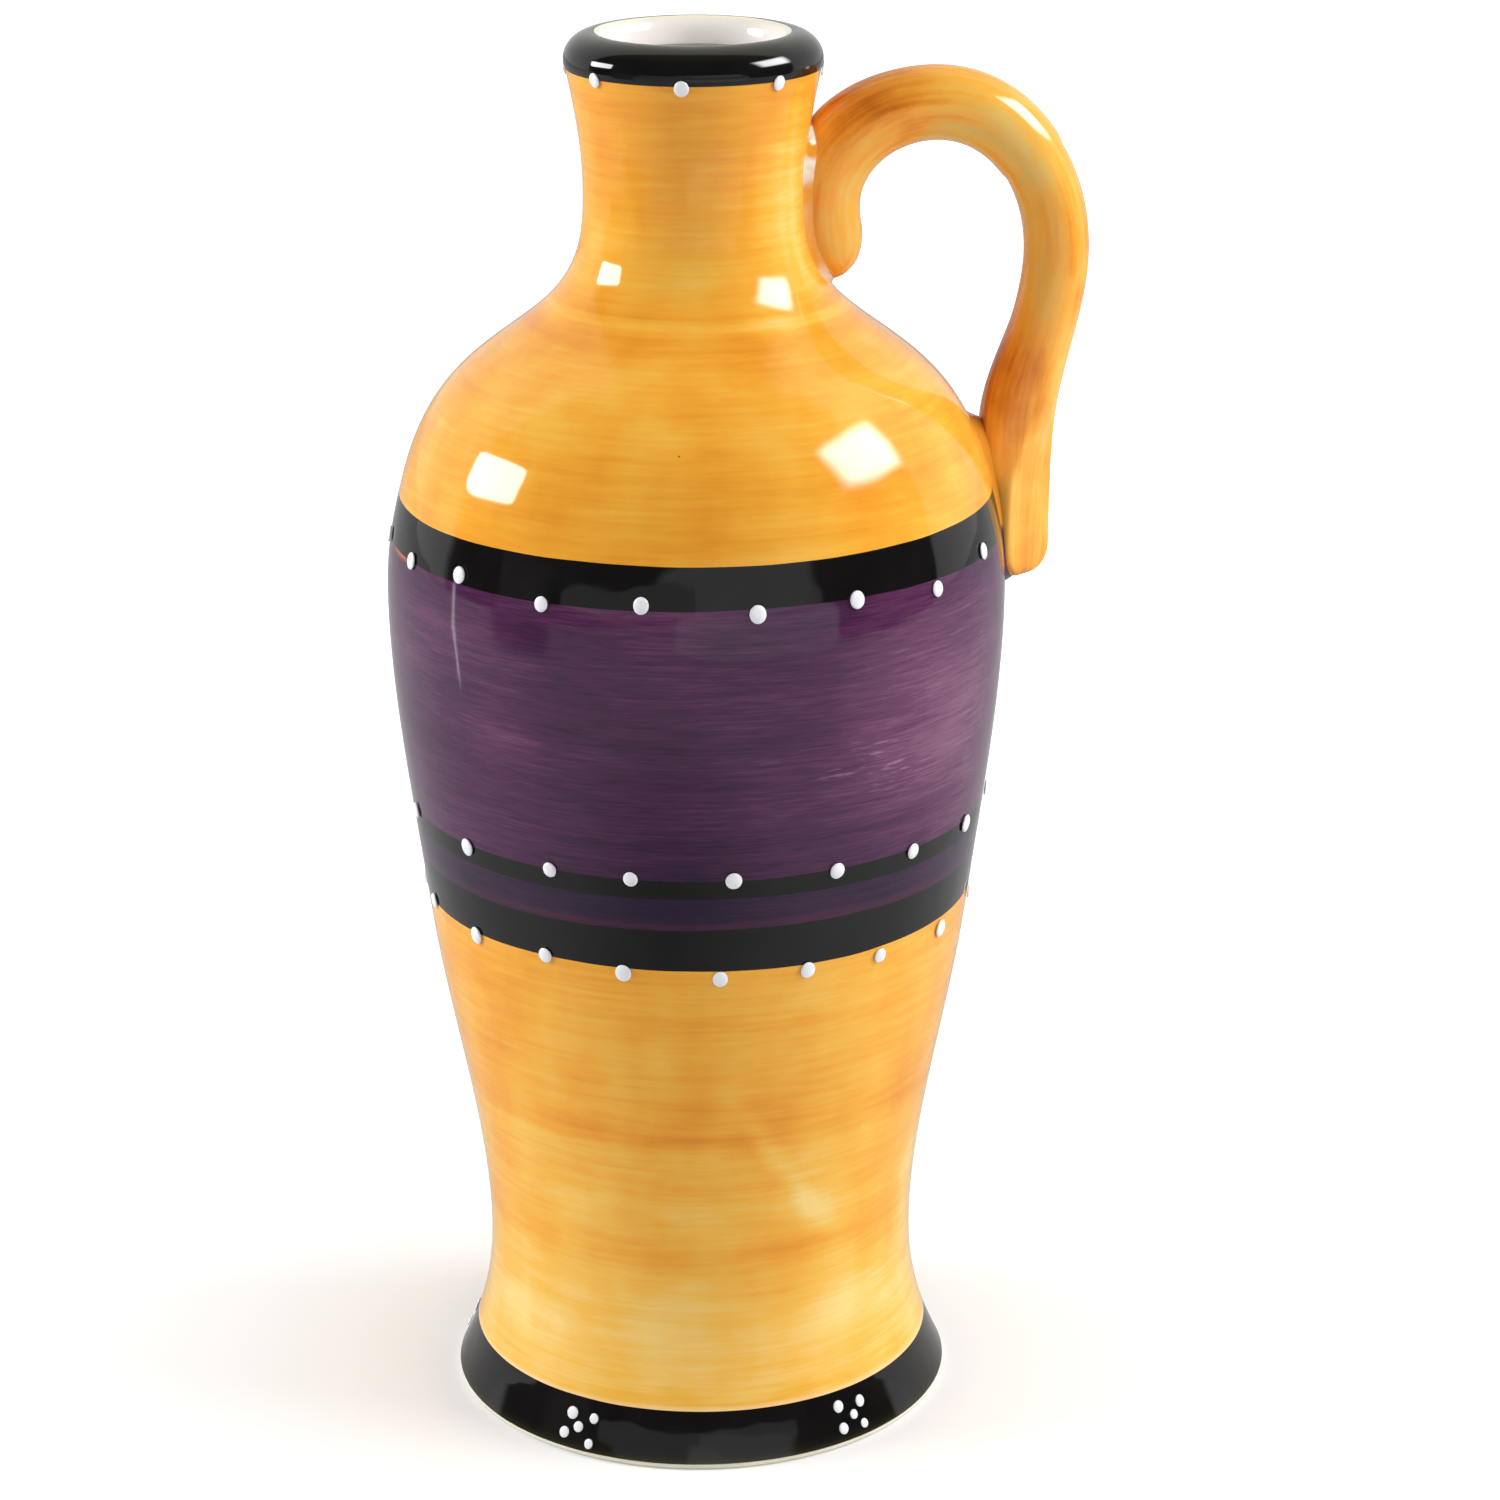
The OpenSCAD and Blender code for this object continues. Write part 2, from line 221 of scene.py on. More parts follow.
def layStrokes(tree, spot, strokes):
    # noise drawn out to the size of a brush stroke
    laid = {}
    for name, (sizes, detail, rough, shift, *_) in strokes.items():
        scale = [1 / (size * mm) for size in sizes]
        place = addNode(tree, "Mapping", {"Vector": spot, "Scale": scale, "Location": [shift] * 3})
        feeds = {"Vector": place, "Scale": 1, "Detail": detail, "Roughness": rough}
        laid[name] = addNode(tree, "TexNoise", feeds)
    return laid


def addStrokes(tree, tone, strokes, laid):
    for name, (*_, share) in strokes.items():
        feeds = {0: laid[name], 1: share, 2: tone}
        tone = addNode(tree, "Math", feeds, operation="MULTIPLY_ADD")
    return tone


def toneByHeight(tree, height, stops, top=260):
    # a grey value for each height in mm, read from a ramp over the whole jar
    share = addNode(tree, "Math", {0: height, 1: top * mm}, operation="DIVIDE")
    grey = [(place / top, (value, value, value, 1)) for place, value in stops]
    return addNode(tree, "ValToRGB", {"Fac": share}, grey)


def markMask(tree, spot, azimuth, height, slant, length, width):
    # one in the middle of a mark on the wall, falling to nothing at its edge
    angle = math.radians(azimuth)
    reach = wallRadius(height * mm)
    feeds = {
        "Vector": spot,
        "Location": (reach * math.cos(angle), reach * math.sin(angle), height * mm),
        "Rotation": (0, -math.radians(slant), angle + math.pi / 2),
        "Scale": (length * mm, markDepth, width * mm),
    }
    place = addNode(tree, "Mapping", feeds, vector_type="TEXTURE")
    gap = addNode(tree, "VectorMath", {0: place}, operation="LENGTH").outputs["Value"]
    feeds = {"Value": gap, "From Min": 1, "From Max": 0}
    return addNode(tree, "MapRange", feeds, interpolation_type="SMOOTHSTEP")


def addMarks(tree, spot, tone, marks, breakUp):
    # breakUp is a noise that makes the marks patchy, or 1 for even marks
    for *place, change in marks:
        mask = addNode(tree, "Math", {0: markMask(tree, spot, *place), 1: breakUp}, operation="MULTIPLY")
        tone = addNode(tree, "Math", {0: mask, 1: change, 2: tone}, operation="MULTIPLY_ADD")
    return tone


def toneStops(tones):
    return [(place, hexColor(text)) for place, text in tones]


def layPaint(tree, color, coats):
    # each coat covers the one below it where its mask is one
    for mask, text in coats:
        feeds = {0: mask, 6: color, 7: hexColor(text)}
        color = addNode(tree, "Mix", feeds, data_type="RGBA").outputs[2]
    return color


# Fired gloss glaze, shared by all the coats: a clear hard skin with a slow ripple from the brush
glossGlaze = {"ior": 1.46, "rippleSize": 10 * mm, "rippleDepth": 0.4 * mm, "rippleStrength": 0.35}


def glazeSkin(tree, spot, color, roughness):
    ripple = addNode(tree, "TexNoise", {"Vector": spot, "Scale": 1 / glossGlaze["rippleSize"], "Detail": 1})
    bump = addNode(tree, "Bump", {
        "Height": ripple, "Strength": glossGlaze["rippleStrength"], "Distance": glossGlaze["rippleDepth"],
    })
    finishMaterial(tree, {
        "Base Color": color, "Roughness": roughness, "IOR": glossGlaze["ior"], "Normal": bump,
    })


# Yellow glaze on earthenware, brushed on the wheel: thin streaks run round the jar,
# orange where strokes overlap, pale where the brush ran thin, and a painted reflection down the neck's right
# side
yellowBrushAndSheen = {
    "strokes": {  # size in mm along each axis, noise detail and roughness, shift, share in the lightness
        "fine": ((26, 26, 0.6), 3, 0.60, 0.0, 0.18),
        "short": ((13, 13, 1.6), 3, 0.55, 4.4, 0.20),
        "broad": ((70, 70, 5.5), 2, 0.50, 3.1, 0.16),
        "smear": ((13, 13, 26), 3, 0.50, 8.7, 0.36),
    },
    "level": -0.45,  # takes the middle of the strokes off again
    "wander": 3.5 * mm,  # how far a ring strays up or down
    "tones": [
        (0.20, "#c56d1e"), (0.38, "#df8f29"), (0.51, "#e8a336"), (0.64, "#ebb54c"), (0.82, "#eecc7c"),
    ],
    "rings": [  # height in mm and lightness, for the strokes that show as rings
        (8, 0.64), (17, 0.68), (22, 0.73), (27, 0.71), (33, 0.65), (39, 0.55), (47, 0.61), (58, 0.59),
        (62.5, 0.57), (64, 0.49), (67, 0.51), (74, 0.53), (100, 0.53), (176, 0.49), (186, 0.50), (199, 0.52),
        (204, 0.52), (206, 0.51), (207.5, 0.43), (209, 0.47), (210.6, 0.60), (211.5, 0.55), (212.5, 0.40),
        (213.5, 0.49), (215, 0.53), (221, 0.52), (236, 0.47), (252, 0.50),
    ],
    "marks": [  # azimuth, height in mm, slant, half length and half width in mm, change of lightness
        (-78, 61, -56, 22, 3.4, 0.13),
        (-66, 48, -50, 9, 4.5, 0.16),
        (-76, 51, 0, 16, 4.5, 0.07),
        (-98, 49, 5, 12, 5, 0.09),
        (-128, 49, 0, 12, 5, 0.07),
        (-152, 22, 5, 16, 7, 0.14),
        (-52, 26, 0, 16, 7, 0.14),
        (-96, 24, 0, 14, 6, -0.06),
        (-122, 77, 90, 19, 8, -0.07),
        (-96, 79, 90, 19, 7, -0.08),
        (-43, 74, 90, 16, 7, -0.06),
        (-150, 72, 90, 16, 7, -0.06),
        (-95, 65.5, 0, 22, 2.2, -0.12),
        (-125, 66.5, 0, 16, 2.6, -0.08),
        (-71, 41, 0, 16, 4.5, -0.09),
        (-104, 39, 0, 15, 4, -0.08),
        (-149, 239, 90, 10, 5, -0.08),
        (-98, 219, 0, 10, 4, 0.06),
        # painted reflection: a pale soft band down the neck's right side, where the glaze reflects a bright
        # light
        (-40, 232, 90, 20, 12, 0.24),
        (-62, 211, 0, 10, 4, 0.16),
        (-22, 44, 90, 16, 12, 0.12),
    ],
    # by height in mm, a thin pale line along the yellow's lower edge, by the foot band
    "paleEdge": [(0, 0.0), (9.4, 0.0), (9.6, 0.9), (10.1, 0.6), (10.34, 0.0), (260, 0.0)],
    "paleColor": "#f8e2c0",
    "speckSpacing": 17 * mm,
    "speckSize": 0.011,  # share of that spacing
    "speckColor": "#7a4a1e",
    "roughness": 0.07,
}


def yellowGlaze():
    brush = yellowBrushAndSheen
    material, tree, spot = startMaterial("brushedYellowGlazeAndSheen")
    height = addNode(tree, "SeparateXYZ", {0: spot}).outputs["Z"]
    laid = layStrokes(tree, spot, brush["strokes"])
    stray = addNode(tree, "Math", {0: laid["broad"], 1: noiseMiddle}, operation="SUBTRACT")
    ringHeight = addNode(tree, "Math", {0: stray, 1: brush["wander"], 2: height}, operation="MULTIPLY_ADD")
    rings = toneByHeight(tree, ringHeight, brush["rings"])
    tone = addNode(tree, "Math", {0: rings, 1: brush["level"]}, operation="ADD")
    tone = addStrokes(tree, tone, brush["strokes"], laid)
    breakUp = addNode(tree, "Math", {0: laid["short"], 1: noiseMiddle}, operation="ADD")
    tone = addMarks(tree, spot, tone, brush["marks"], breakUp)
    paint = addNode(tree, "ValToRGB", {"Fac": tone}, toneStops(brush["tones"]))
    cells = addNode(tree, "TexVoronoi", {"Vector": spot, "Scale": 1 / brush["speckSpacing"]})
    speck = addNode(tree, "Math", {0: cells, 1: brush["speckSize"]}, operation="LESS_THAN")
    edge = toneByHeight(tree, height, brush["paleEdge"])
    color = layPaint(tree, paint, [(speck, brush["speckColor"]), (edge, brush["paleColor"])])
    glazeSkin(tree, spot, color, brush["roughness"])
    return material


# Purple glaze, brushed thin: indigo and mauve streaks, with pale dashes where the brush ran dry, and painted
# light and shade across the band
purpleBrushAndShade = {
    "strokes": {  # as on the yellow glaze
        "fine": ((13, 13, 0.5), 4, 0.65, 0.0, 0.38),
        "thread": ((4.5, 4.5, 0.32), 2, 0.5, 2.7, 0.24),
        "broad": ((45, 45, 3.2), 2, 0.5, 5.3, 0.26),
        "patch": ((26, 26, 16), 2, 0.5, 1.9, 0.32),
    },
    "dry": {"dash": ((5, 5, 0.6), 2, 0.5, 6.1)},
    "level": -0.60,
    "rise": [(0, 0.27), (115, 0.28), (119, 0.48), (135, 0.50), (150, 0.52), (169, 0.53), (260, 0.53)],
    "tones": [
        (0.24, "#251730"), (0.40, "#371c38"), (0.54, "#4a2546"), (0.68, "#603655"), (0.86, "#7c566e"),
    ],
    "marks": [  # as on the yellow glaze; painted light and shade: lighter on the right front and left side, darker facing front
        (-46, 140, 90, 42, 36, 0.25),
        (-100, 130, 90, 26, 20, -0.06),
        (-136, 146, 90, 24, 14, 0.06),
    ],
    "dryMarks": [(-64, 138.5, 0, 14, 7), (-56, 134, 0, 10, 5)],
    "dryColor": "#a07a97",
    "dashEdge": (0.56, 0.74),  # noise below the first is no dash, above the second a full one
    "dashCover": 0.7,
    "sliver": (-167, 168.3, 0, 8, 1.3),  # yellow paint left bare under the black band
    "sliverColor": "#b8662c",
    "redEdge": [(0, 0.0), (108.7, 0.0), (109.0, 0.5), (109.4, 0.4), (109.9, 0.0), (260, 0.0)],
    "redColor": "#6e2b3a",
    "roughness": 0.06,
}


def purpleGlaze():
    brush = purpleBrushAndShade
    material, tree, spot = startMaterial("brushedShadedPurpleGlaze")
    height = addNode(tree, "SeparateXYZ", {0: spot}).outputs["Z"]
    laid = layStrokes(tree, spot, brush["strokes"])
    rise = toneByHeight(tree, height, brush["rise"])
    tone = addNode(tree, "Math", {0: rise, 1: brush["level"]}, operation="ADD")
    tone = addStrokes(tree, tone, brush["strokes"], laid)
    tone = addMarks(tree, spot, tone, brush["marks"], 1)
    paint = addNode(tree, "ValToRGB", {"Fac": tone}, toneStops(brush["tones"]))
    # dry dashes show only in some places
    dash = layStrokes(tree, spot, brush["dry"])["dash"]
    first, full = brush["dashEdge"]
    feeds = {"Value": dash, "From Min": first, "From Max": full, "To Max": brush["dashCover"]}
    dash = addNode(tree, "MapRange", feeds)
    dry = addMarks(tree, spot, 0, [(*mark, 1) for mark in brush["dryMarks"]], dash)
    edge = toneByHeight(tree, height, brush["redEdge"])
    sliver = markMask(tree, spot, *brush["sliver"])
    color = layPaint(tree, paint, [
        (dry, brush["dryColor"]), (edge, brush["redColor"]), (sliver, brush["sliverColor"]),
    ])
    glazeSkin(tree, spot, color, brush["roughness"])
    return material


# Black gloss glaze: thins to olive where it runs off the lip's crest and the foot's edge
blackCoat = {
    "tones": ("#0b0a0b", "#191716"),
    "mottle": 7 * mm,
    "detail": 3,
    "thin": [(0, 0.9), (1.4, 0.7), (2.2, 0.0), (256.4, 0.0), (258, 0.6), (260, 0.8)],  # by height in mm
    "thinColor": "#35341f",
    "roughness": 0.05,
}

# White tin glaze inside: even gloss, warm where it thins at the crest
whiteCoat = {
    "tones": ("#e9e2de", "#f3efec"),
    "mottle": 14 * mm,
    "detail": 2,
    "thin": [(0, 0.05), (256.9, 0.05), (258, 0.7)],
    "thinColor": "#e6dfc4",
    "roughness": 0.08,
}


def plainGlaze(name, coat):
    material, tree, spot = startMaterial(name)
    height = addNode(tree, "SeparateXYZ", {0: spot}).outputs["Z"]
    thin = toneByHeight(tree, height, coat["thin"])
    feeds = {"Vector": spot, "Scale": 1 / coat["mottle"], "Detail": coat["detail"]}
    mottle = addNode(tree, "TexNoise", feeds)
    first, second = coat["tones"]
    color = layPaint(tree, hexColor(first), [(mottle, second), (thin, coat["thinColor"])])
    glazeSkin(tree, spot, color, coat["roughness"])
    return material


# Bisque earthenware: bare fired clay, matt, with fine grog
bareClay = {
    "tones": ("#ddd6bd", "#ece8d8"),
    "stain": 12 * mm,
    "grog": 0.5 * mm,
    "grogStrength": 0.3,
    "grogDepth": 0.1 * mm,
    "roughness": (0.6, 0.85),
}


def bisqueClay():
    clay = bareClay
    material, tree, spot = startMaterial("bisqueEarthenware")
    stain = addNode(tree, "TexNoise", {"Vector": spot, "Scale": 1 / clay["stain"], "Detail": 3})
    grog = addNode(tree, "TexNoise", {"Vector": spot, "Scale": 1 / clay["grog"], "Detail": 2})
    dark, pale = clay["tones"]
    color = layPaint(tree, hexColor(dark), [(stain, pale)])
    smooth, rough = clay["roughness"]
    roughness = addNode(tree, "MapRange", {"Value": grog, "To Min": smooth, "To Max": rough})
    feeds = {"Height": grog, "Strength": clay["grogStrength"], "Distance": clay["grogDepth"]}
    bump = addNode(tree, "Bump", feeds)
    finishMaterial(tree, {"Base Color": color, "Roughness": roughness, "Normal": bump})
    return material


# Raised white enamel, trailed on as drops and fired to a satin gloss
dropEnamel = {"cloud": 1.6 * mm, "tones": ("#d8dbe2", "#f1f2f4"), "roughness": 0.32, "ior": 1.45}


def whiteEnamel():
    material, tree, spot = startMaterial("raisedWhiteEnamel")
    cloud = addNode(tree, "TexNoise", {"Vector": spot, "Scale": 1 / dropEnamel["cloud"], "Detail": 2})
    dull, bright = dropEnamel["tones"]
    color = layPaint(tree, hexColor(dull), [(cloud, bright)])
    finishMaterial(tree, {
        "Base Color": color, "Roughness": dropEnamel["roughness"], "IOR": dropEnamel["ior"],
    })
    return material


# Yellow glaze on the handle, brushed along the bar: brown-orange where it pools by the joints,
# olive over the crown; painted light down the leg and on the bar's inside, painted shade in the crook
handleBrushAndShade = {
    "strokes": {  # as on the yellow glaze, with sizes across and along the bar
        "fine": ((0.9, 0.9, 14), 3, 0.6, 0.0, 0.42),
        "broad": ((3.5, 3.5, 22), 2, 0.5, 2.3, 0.42),
        "patch": ((6, 6, 9), 3, 0.55, 7.7, 0.42),
    },
    "level": -0.63,
    # by mm along the bar, how much lighter its inside is: painted light up the neck and crown, painted shade
    # in the crook
    "side": [(0, 0.93), (92, 0.93), (103, 0.15), (112, 0.15), (122, 0.67), (145, 0.67)],
    "sideShadeScale": (60, -40),  # factor and shift that make it lightness per metre to the inside of the bend
    "along": [  # mm along the bar from its tip, and lightness; lighter down the leg as painted light
        (0, 0.48), (10, 0.58), (20, 0.55), (29, 0.45), (36, 0.43), (42, 0.54), (50, 0.68), (62, 0.65),
        (78, 0.58), (96, 0.54), (104, 0.44), (111, 0.44), (117, 0.52), (126, 0.56), (136, 0.52), (145, 0.36),
    ],
    "tones": [
        (0.20, "#b8611a"), (0.36, "#dc8629"), (0.50, "#eba03a"), (0.62, "#e8ad49"), (0.80, "#dcbb68"),
    ],
    "roughness": 0.08,
}


def handleGlaze():
    brush = handleBrushAndShade
    material, tree, spot = startMaterial("brushedShadedHandleGlaze")
    barSpot = addNode(tree, "Attribute", attribute_name="strokeSpot").outputs["Vector"]
    axes = addNode(tree, "SeparateXYZ", {0: barSpot})
    laid = layStrokes(tree, barSpot, brush["strokes"])
    # painted light and shade across the bar: its inside lighter up the neck and crown, darker in the crook
    # by the lower joint
    scale, shift = brush["sideShadeScale"]
    side = toneByHeight(tree, axes.outputs["Z"], brush["side"])
    side = addNode(tree, "Math", {0: side, 1: scale, 2: shift}, operation="MULTIPLY_ADD")
    feeds = {0: axes.outputs["X"], 1: side, 2: brush["level"]}
    tone = addNode(tree, "Math", feeds, operation="MULTIPLY_ADD")
    # along the bar: pooled orange by the joints, and painted light that makes the leg lighter
    along = toneByHeight(tree, axes.outputs["Z"], brush["along"])
    tone = addNode(tree, "Math", {0: tone, 1: along}, operation="ADD")
    tone = addStrokes(tree, tone, brush["strokes"], laid)
    paint = addNode(tree, "ValToRGB", {"Fac": tone}, toneStops(brush["tones"]))
    glazeSkin(tree, spot, paint, brush["roughness"])
    return material


# Slip where the handle is stuck on: takes the paint of the coat beside it, thin and pale in the crease,
# where the pale is bare slip and a painted highlight
slipPaint = {
    "change": [(0, 1.0), (168.4, 1.0), (169.8, 0.0), (260, 0.0)],  # purple below, yellow above
    # by height in mm, pale patches in the crease: bare slip, painted pale also as a highlight on the fillet
    "bare": [(0, 0.0), (205, 0.0), (211, 1.0), (216, 0.8), (219, 0.1), (232, 0.2), (236, 1.0), (245, 1.0)],
    "mottle": 5 * mm,
    "thinEdge": (0.36, 0.56),  # mottle below the first is full paint, above the second bare
    "wander": 3 * mm,
    "yellow": "#dc9030",
    # colour of the bare slip together with its painted highlight
    "pale": "#e6dccf",
    "purple": "#4c2f4f",
    "roughness": 0.08,
}


def jointSlip():
    slip = slipPaint
    material, tree, spot = startMaterial("glazedJointSlipAndGlint")
    height = addNode(tree, "SeparateXYZ", {0: spot}).outputs["Z"]
    mottle = addNode(tree, "TexNoise", {"Vector": spot, "Scale": 1 / slip["mottle"], "Detail": 2})
    wander = addNode(tree, "Math", {0: mottle, 1: slip["wander"], 2: height}, operation="MULTIPLY_ADD")
    change = toneByHeight(tree, wander, slip["change"])
    full, none = slip["thinEdge"]
    thin = addNode(tree, "MapRange", {"Value": mottle, "From Min": full, "From Max": none})
    # pale patches: bare slip, painted brighter as a highlight on the fillet
    patches = toneByHeight(tree, wander, slip["bare"])
    bare = addNode(tree, "Math", {0: patches, 1: thin}, operation="MULTIPLY")
    color = layPaint(tree, hexColor(slip["yellow"]), [(bare, slip["pale"]), (change, slip["purple"])])
    glazeSkin(tree, spot, color, slip["roughness"])
    return material


materials = {
    "yellow_glaze": yellowGlaze(),
    "purple_glaze": purpleGlaze(),
    "black_glaze": plainGlaze("glossBlackGlaze", blackCoat),
    "white_glaze": plainGlaze("glossWhiteGlaze", whiteCoat),
    "bisque": bisqueClay(),
    "white_enamel": whiteEnamel(),
    "joint_slip": jointSlip(),
}
handleMaterial = handleGlaze()
print("materials made:", len(materials) + 1)


def dress(piece, node, slot, material=None):
    # finish of a modelled piece, and its place in the frame
    piece.data.materials.clear()
    piece.data.materials.append(material or materials[slot])
    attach(piece, "root")
    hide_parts(node)


def editAll():
    bpy.ops.object.mode_set(mode="EDIT")
    bpy.ops.mesh.select_all(action="SELECT")


def faceOutwards():
    # the end of an edit
    bpy.ops.mesh.normals_make_consistent(inside=False)
    bpy.ops.object.mode_set(mode="OBJECT")


def applyModifier(piece, name, kind, **settings):
    modifier = piece.modifiers.new(name, kind)
    for key, value in settings.items():
        setattr(modifier, key, value)
    bpy.ops.object.modifier_apply(modifier=modifier.name)


def smoothOff(piece, angle=wheel["smoothAngle"]):
    bpy.ops.object.select_all(action="DESELECT")
    piece.select_set(True)
    bpy.context.view_layer.objects.active = piece
    bpy.ops.object.shade_smooth_by_angle(angle=math.radians(angle))


def startPoint(name, place):
    # a small plane drawn together to the single point that an outline starts from
    piece = addShape(bpy.ops.mesh.primitive_plane_add, name, size=mm)
    editAll()
    bpy.ops.mesh.merge(type="CENTER")
    bpy.ops.transform.translate(value=place)
    return piece


def turnPiece(name, rows, place):
    # draws the outline, turns it round the axis, then lets each point follow the brush
    plain = np.array([place(row, None) for row in rows])
    piece = startPoint(name, (plain[0][0], 0, plain[0][1]))
    for radiusStep, heightStep in np.diff(plain, axis=0):
        bpy.ops.mesh.extrude_vertices_move(TRANSFORM_OT_translate={"value": (radiusStep, 0, heightStep)})
    bpy.ops.object.mode_set(mode="OBJECT")
    turns = wheel["turns"]
    applyModifier(piece, "lathe", "SCREW", angle=2 * math.pi, steps=turns, render_steps=turns)
    editAll()
    bpy.ops.mesh.remove_doubles(threshold=wheel["mergeGap"])
    faceOutwards()
    spots = np.array([vert.co for vert in piece.data.vertices])
    radii = np.hypot(spots[:, 0], spots[:, 1])
    angles = np.arctan2(spots[:, 1], spots[:, 0])
    for index, (radius, angle, height) in enumerate(zip(radii, angles, spots[:, 2])):
        if radius > wheel["onAxis"]:
            gaps = (plain[:, 0] - radius) ** 2 + (plain[:, 1] - height) ** 2
            radius, height = place(rows[int(gaps.argmin())], angle)
            piece.data.vertices[index].co = (radius * math.cos(angle), radius * math.sin(angle), height)
    smoothOff(piece)
    return piece


def bandRows(count):
    # round a band's section: up its face and down its back, as shares of its height with a depth
    shares = [step / count for step in range(count + 1)]
    outside = [(share, 0) for share in shares]
    inside = [(share, coatDepth) for share in reversed(shares)]
    return outside + inside + outside[:1]


def makeCoat(number, name, slot):
    def place(row, angle):
        share, depth = row
        low = edgeHeight(number, angle)
        height = low + share * (edgeHeight(number + 1, angle) - low)
        return wallRadius(height) - depth, height

    tall = edgeHeights[number + 1] - edgeHeights[number]
    rows = bandRows(max(wheel["leastRows"], round(tall / wheel["rowStep"])))
    dress(turnPiece(name, rows, place), coatNodes[number], slot)


coatPieces = [
    ("footBand", "black_glaze"),
    ("lowerCoat", "yellow_glaze"),
    ("waistBand", "black_glaze"),
    ("purpleStripe", "purple_glaze"),
    ("bellyLine", "black_glaze"),
    ("purpleBand", "purple_glaze"),
    ("shoulderBand", "black_glaze"),
    ("neckCoat", "yellow_glaze"),
]
for number, (name, slot) in enumerate(coatPieces):
    makeCoat(number, name, slot)
print("coats turned:", len(coatPieces))

# The rolled lip: one ellipse outside its crest and a narrower one into the mouth
boreMount = next(mount for mount in frame["record"]["mounts"] if mount["name"] == "mouth_bore")
boreRadius = boreMount["dims"]["r_mm"] * mm
lipPoints = pointsOf("lip_band")
lipCrest = lipPoints[lipPoints[:, 1].argmax()]
lipWidest = lipPoints[lipPoints[:, 0].argmax()]
lip = {
    "paintEnd": 97,  # degrees round the roll where black meets white
    "paintSway": 5,
    "swayTurns": 1.7,
    "apart": 9.1,  # from the wander of the other edges
    "turnStep": 5,
}
lipMiddle = float(lipWidest[1])
lipRise = float(lipCrest[1] - lipWidest[1])
lipStart = math.degrees(math.asin((edgeHeights[-1] - lipMiddle) / lipRise))


def lipPlace(turn, depth=0.0):
    half = lipWidest[0] - lipCrest[0] if turn < 90 else lipCrest[0] - boreRadius
    angle = math.radians(turn)
    across, along = math.cos(angle), math.sin(angle)
    out = Vector((across / half, along / lipRise)).normalized() * depth
    return lipCrest[0] + half * across - out.x, lipMiddle + lipRise * along - out.y


def lipPaintEnd(angle):
    if angle is None:
        return lip["paintEnd"]
    spot = Vector((math.cos(angle), math.sin(angle), lip["apart"]))
    return lip["paintEnd"] + lip["paintSway"] * noise.noise(spot * lip["swayTurns"])


def makeLip():
    rows = bandRows(round((lip["paintEnd"] - lipStart) / lip["turnStep"]))

    def place(row, angle):
        share, depth = row
        return lipPlace(lipStart + share * (lipPaintEnd(angle) - lipStart), depth)

    dress(turnPiece("lipBand", rows, place), "lip_band", "black_glaze")


makeLip()

# The white lining: over the crest, down the throat, along the wall to the floor
lining = {
    "depth": coatDepth,
    "firstTurn": 100,  # degrees round the lip's roll, past the black paint
    "corner": 8 * mm,
    "cornerStep": 15,
    "beltReach": 4 * mm,  # the wall's thickness is read this near the belly's widest ring
}
liningPoints = pointsOf("inner_glaze")
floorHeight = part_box("inner_glaze")[0].z + lining["depth"]
beltHeight = float(wallGrid[wallRadii.argmax()])
beltRows = liningPoints[np.abs(liningPoints[:, 1] - beltHeight) < lining["beltReach"]]
wallDepth = float(wallRadii.max() - beltRows[:, 0].min())
hollowRadii = np.maximum(boreRadius, wallRadii - wallDepth)
evenOut(hollowRadii, wheel["smoothing"])


def hollowLine(depth):
    # from the mouth down to the middle of the floor, at a depth behind the lining's face
    line = [lipPlace(turn, depth) for turn in range(lining["firstTurn"], 181, lip["turnStep"])]
    low = floorHeight + lining["corner"]
    high = line[-1][1] - wheel["rowStep"]
    for height in np.arange(high, low, -wheel["hiddenStep"] / 2):
        line.append((float(np.interp(height, wallGrid, hollowRadii)) + depth, float(height)))
    side = float(np.interp(low, wallGrid, hollowRadii))
    corner = lining["corner"] + depth
    for turn in range(0, 91, lining["cornerStep"]):
        angle = math.radians(turn)
        line.append((side - lining["corner"] + corner * math.cos(angle), low - corner * math.sin(angle)))
    line.append((0.0, floorHeight - depth))
    return line


def makeLining():
    face = hollowLine(0)
    back = hollowLine(lining["depth"])
    rows = ["edge"] + face + back[::-1] + ["edge"]

    def place(row, angle):
        if row == "edge":
            return lipPlace(lipPaintEnd(angle))
        return row

    dress(turnPiece("innerGlaze", rows, place), "inner_glaze", "white_glaze")


makeLining()
print("lip and lining turned")

# The clay under the glaze: only its bare foot shows
foot = {
    "soften": 0.5 * mm,
    "bareSwell": 0.12 * mm,
    "glazeStep": 0.3 * mm,  # the clay draws in under the glaze, from this far below its edge to as far above
    "glazeEdge": 0.05 * mm,
    "glazeShare": 0.6,
    "faceReach": 0.1 * mm,  # points this low are on the foot's face
    "recessInset": 1 * mm,
    "recessReach": 5 * mm,
}
clayPoints = pointsOf("clay_body")
footFace = clayPoints[clayPoints[:, 1] < foot["faceReach"], 0]
inRing = clayPoints[:, 0] < footFace.min() - foot["recessInset"]
recessHeight = float(clayPoints[inRing & (clayPoints[:, 1] < foot["recessReach"]), 1].max())


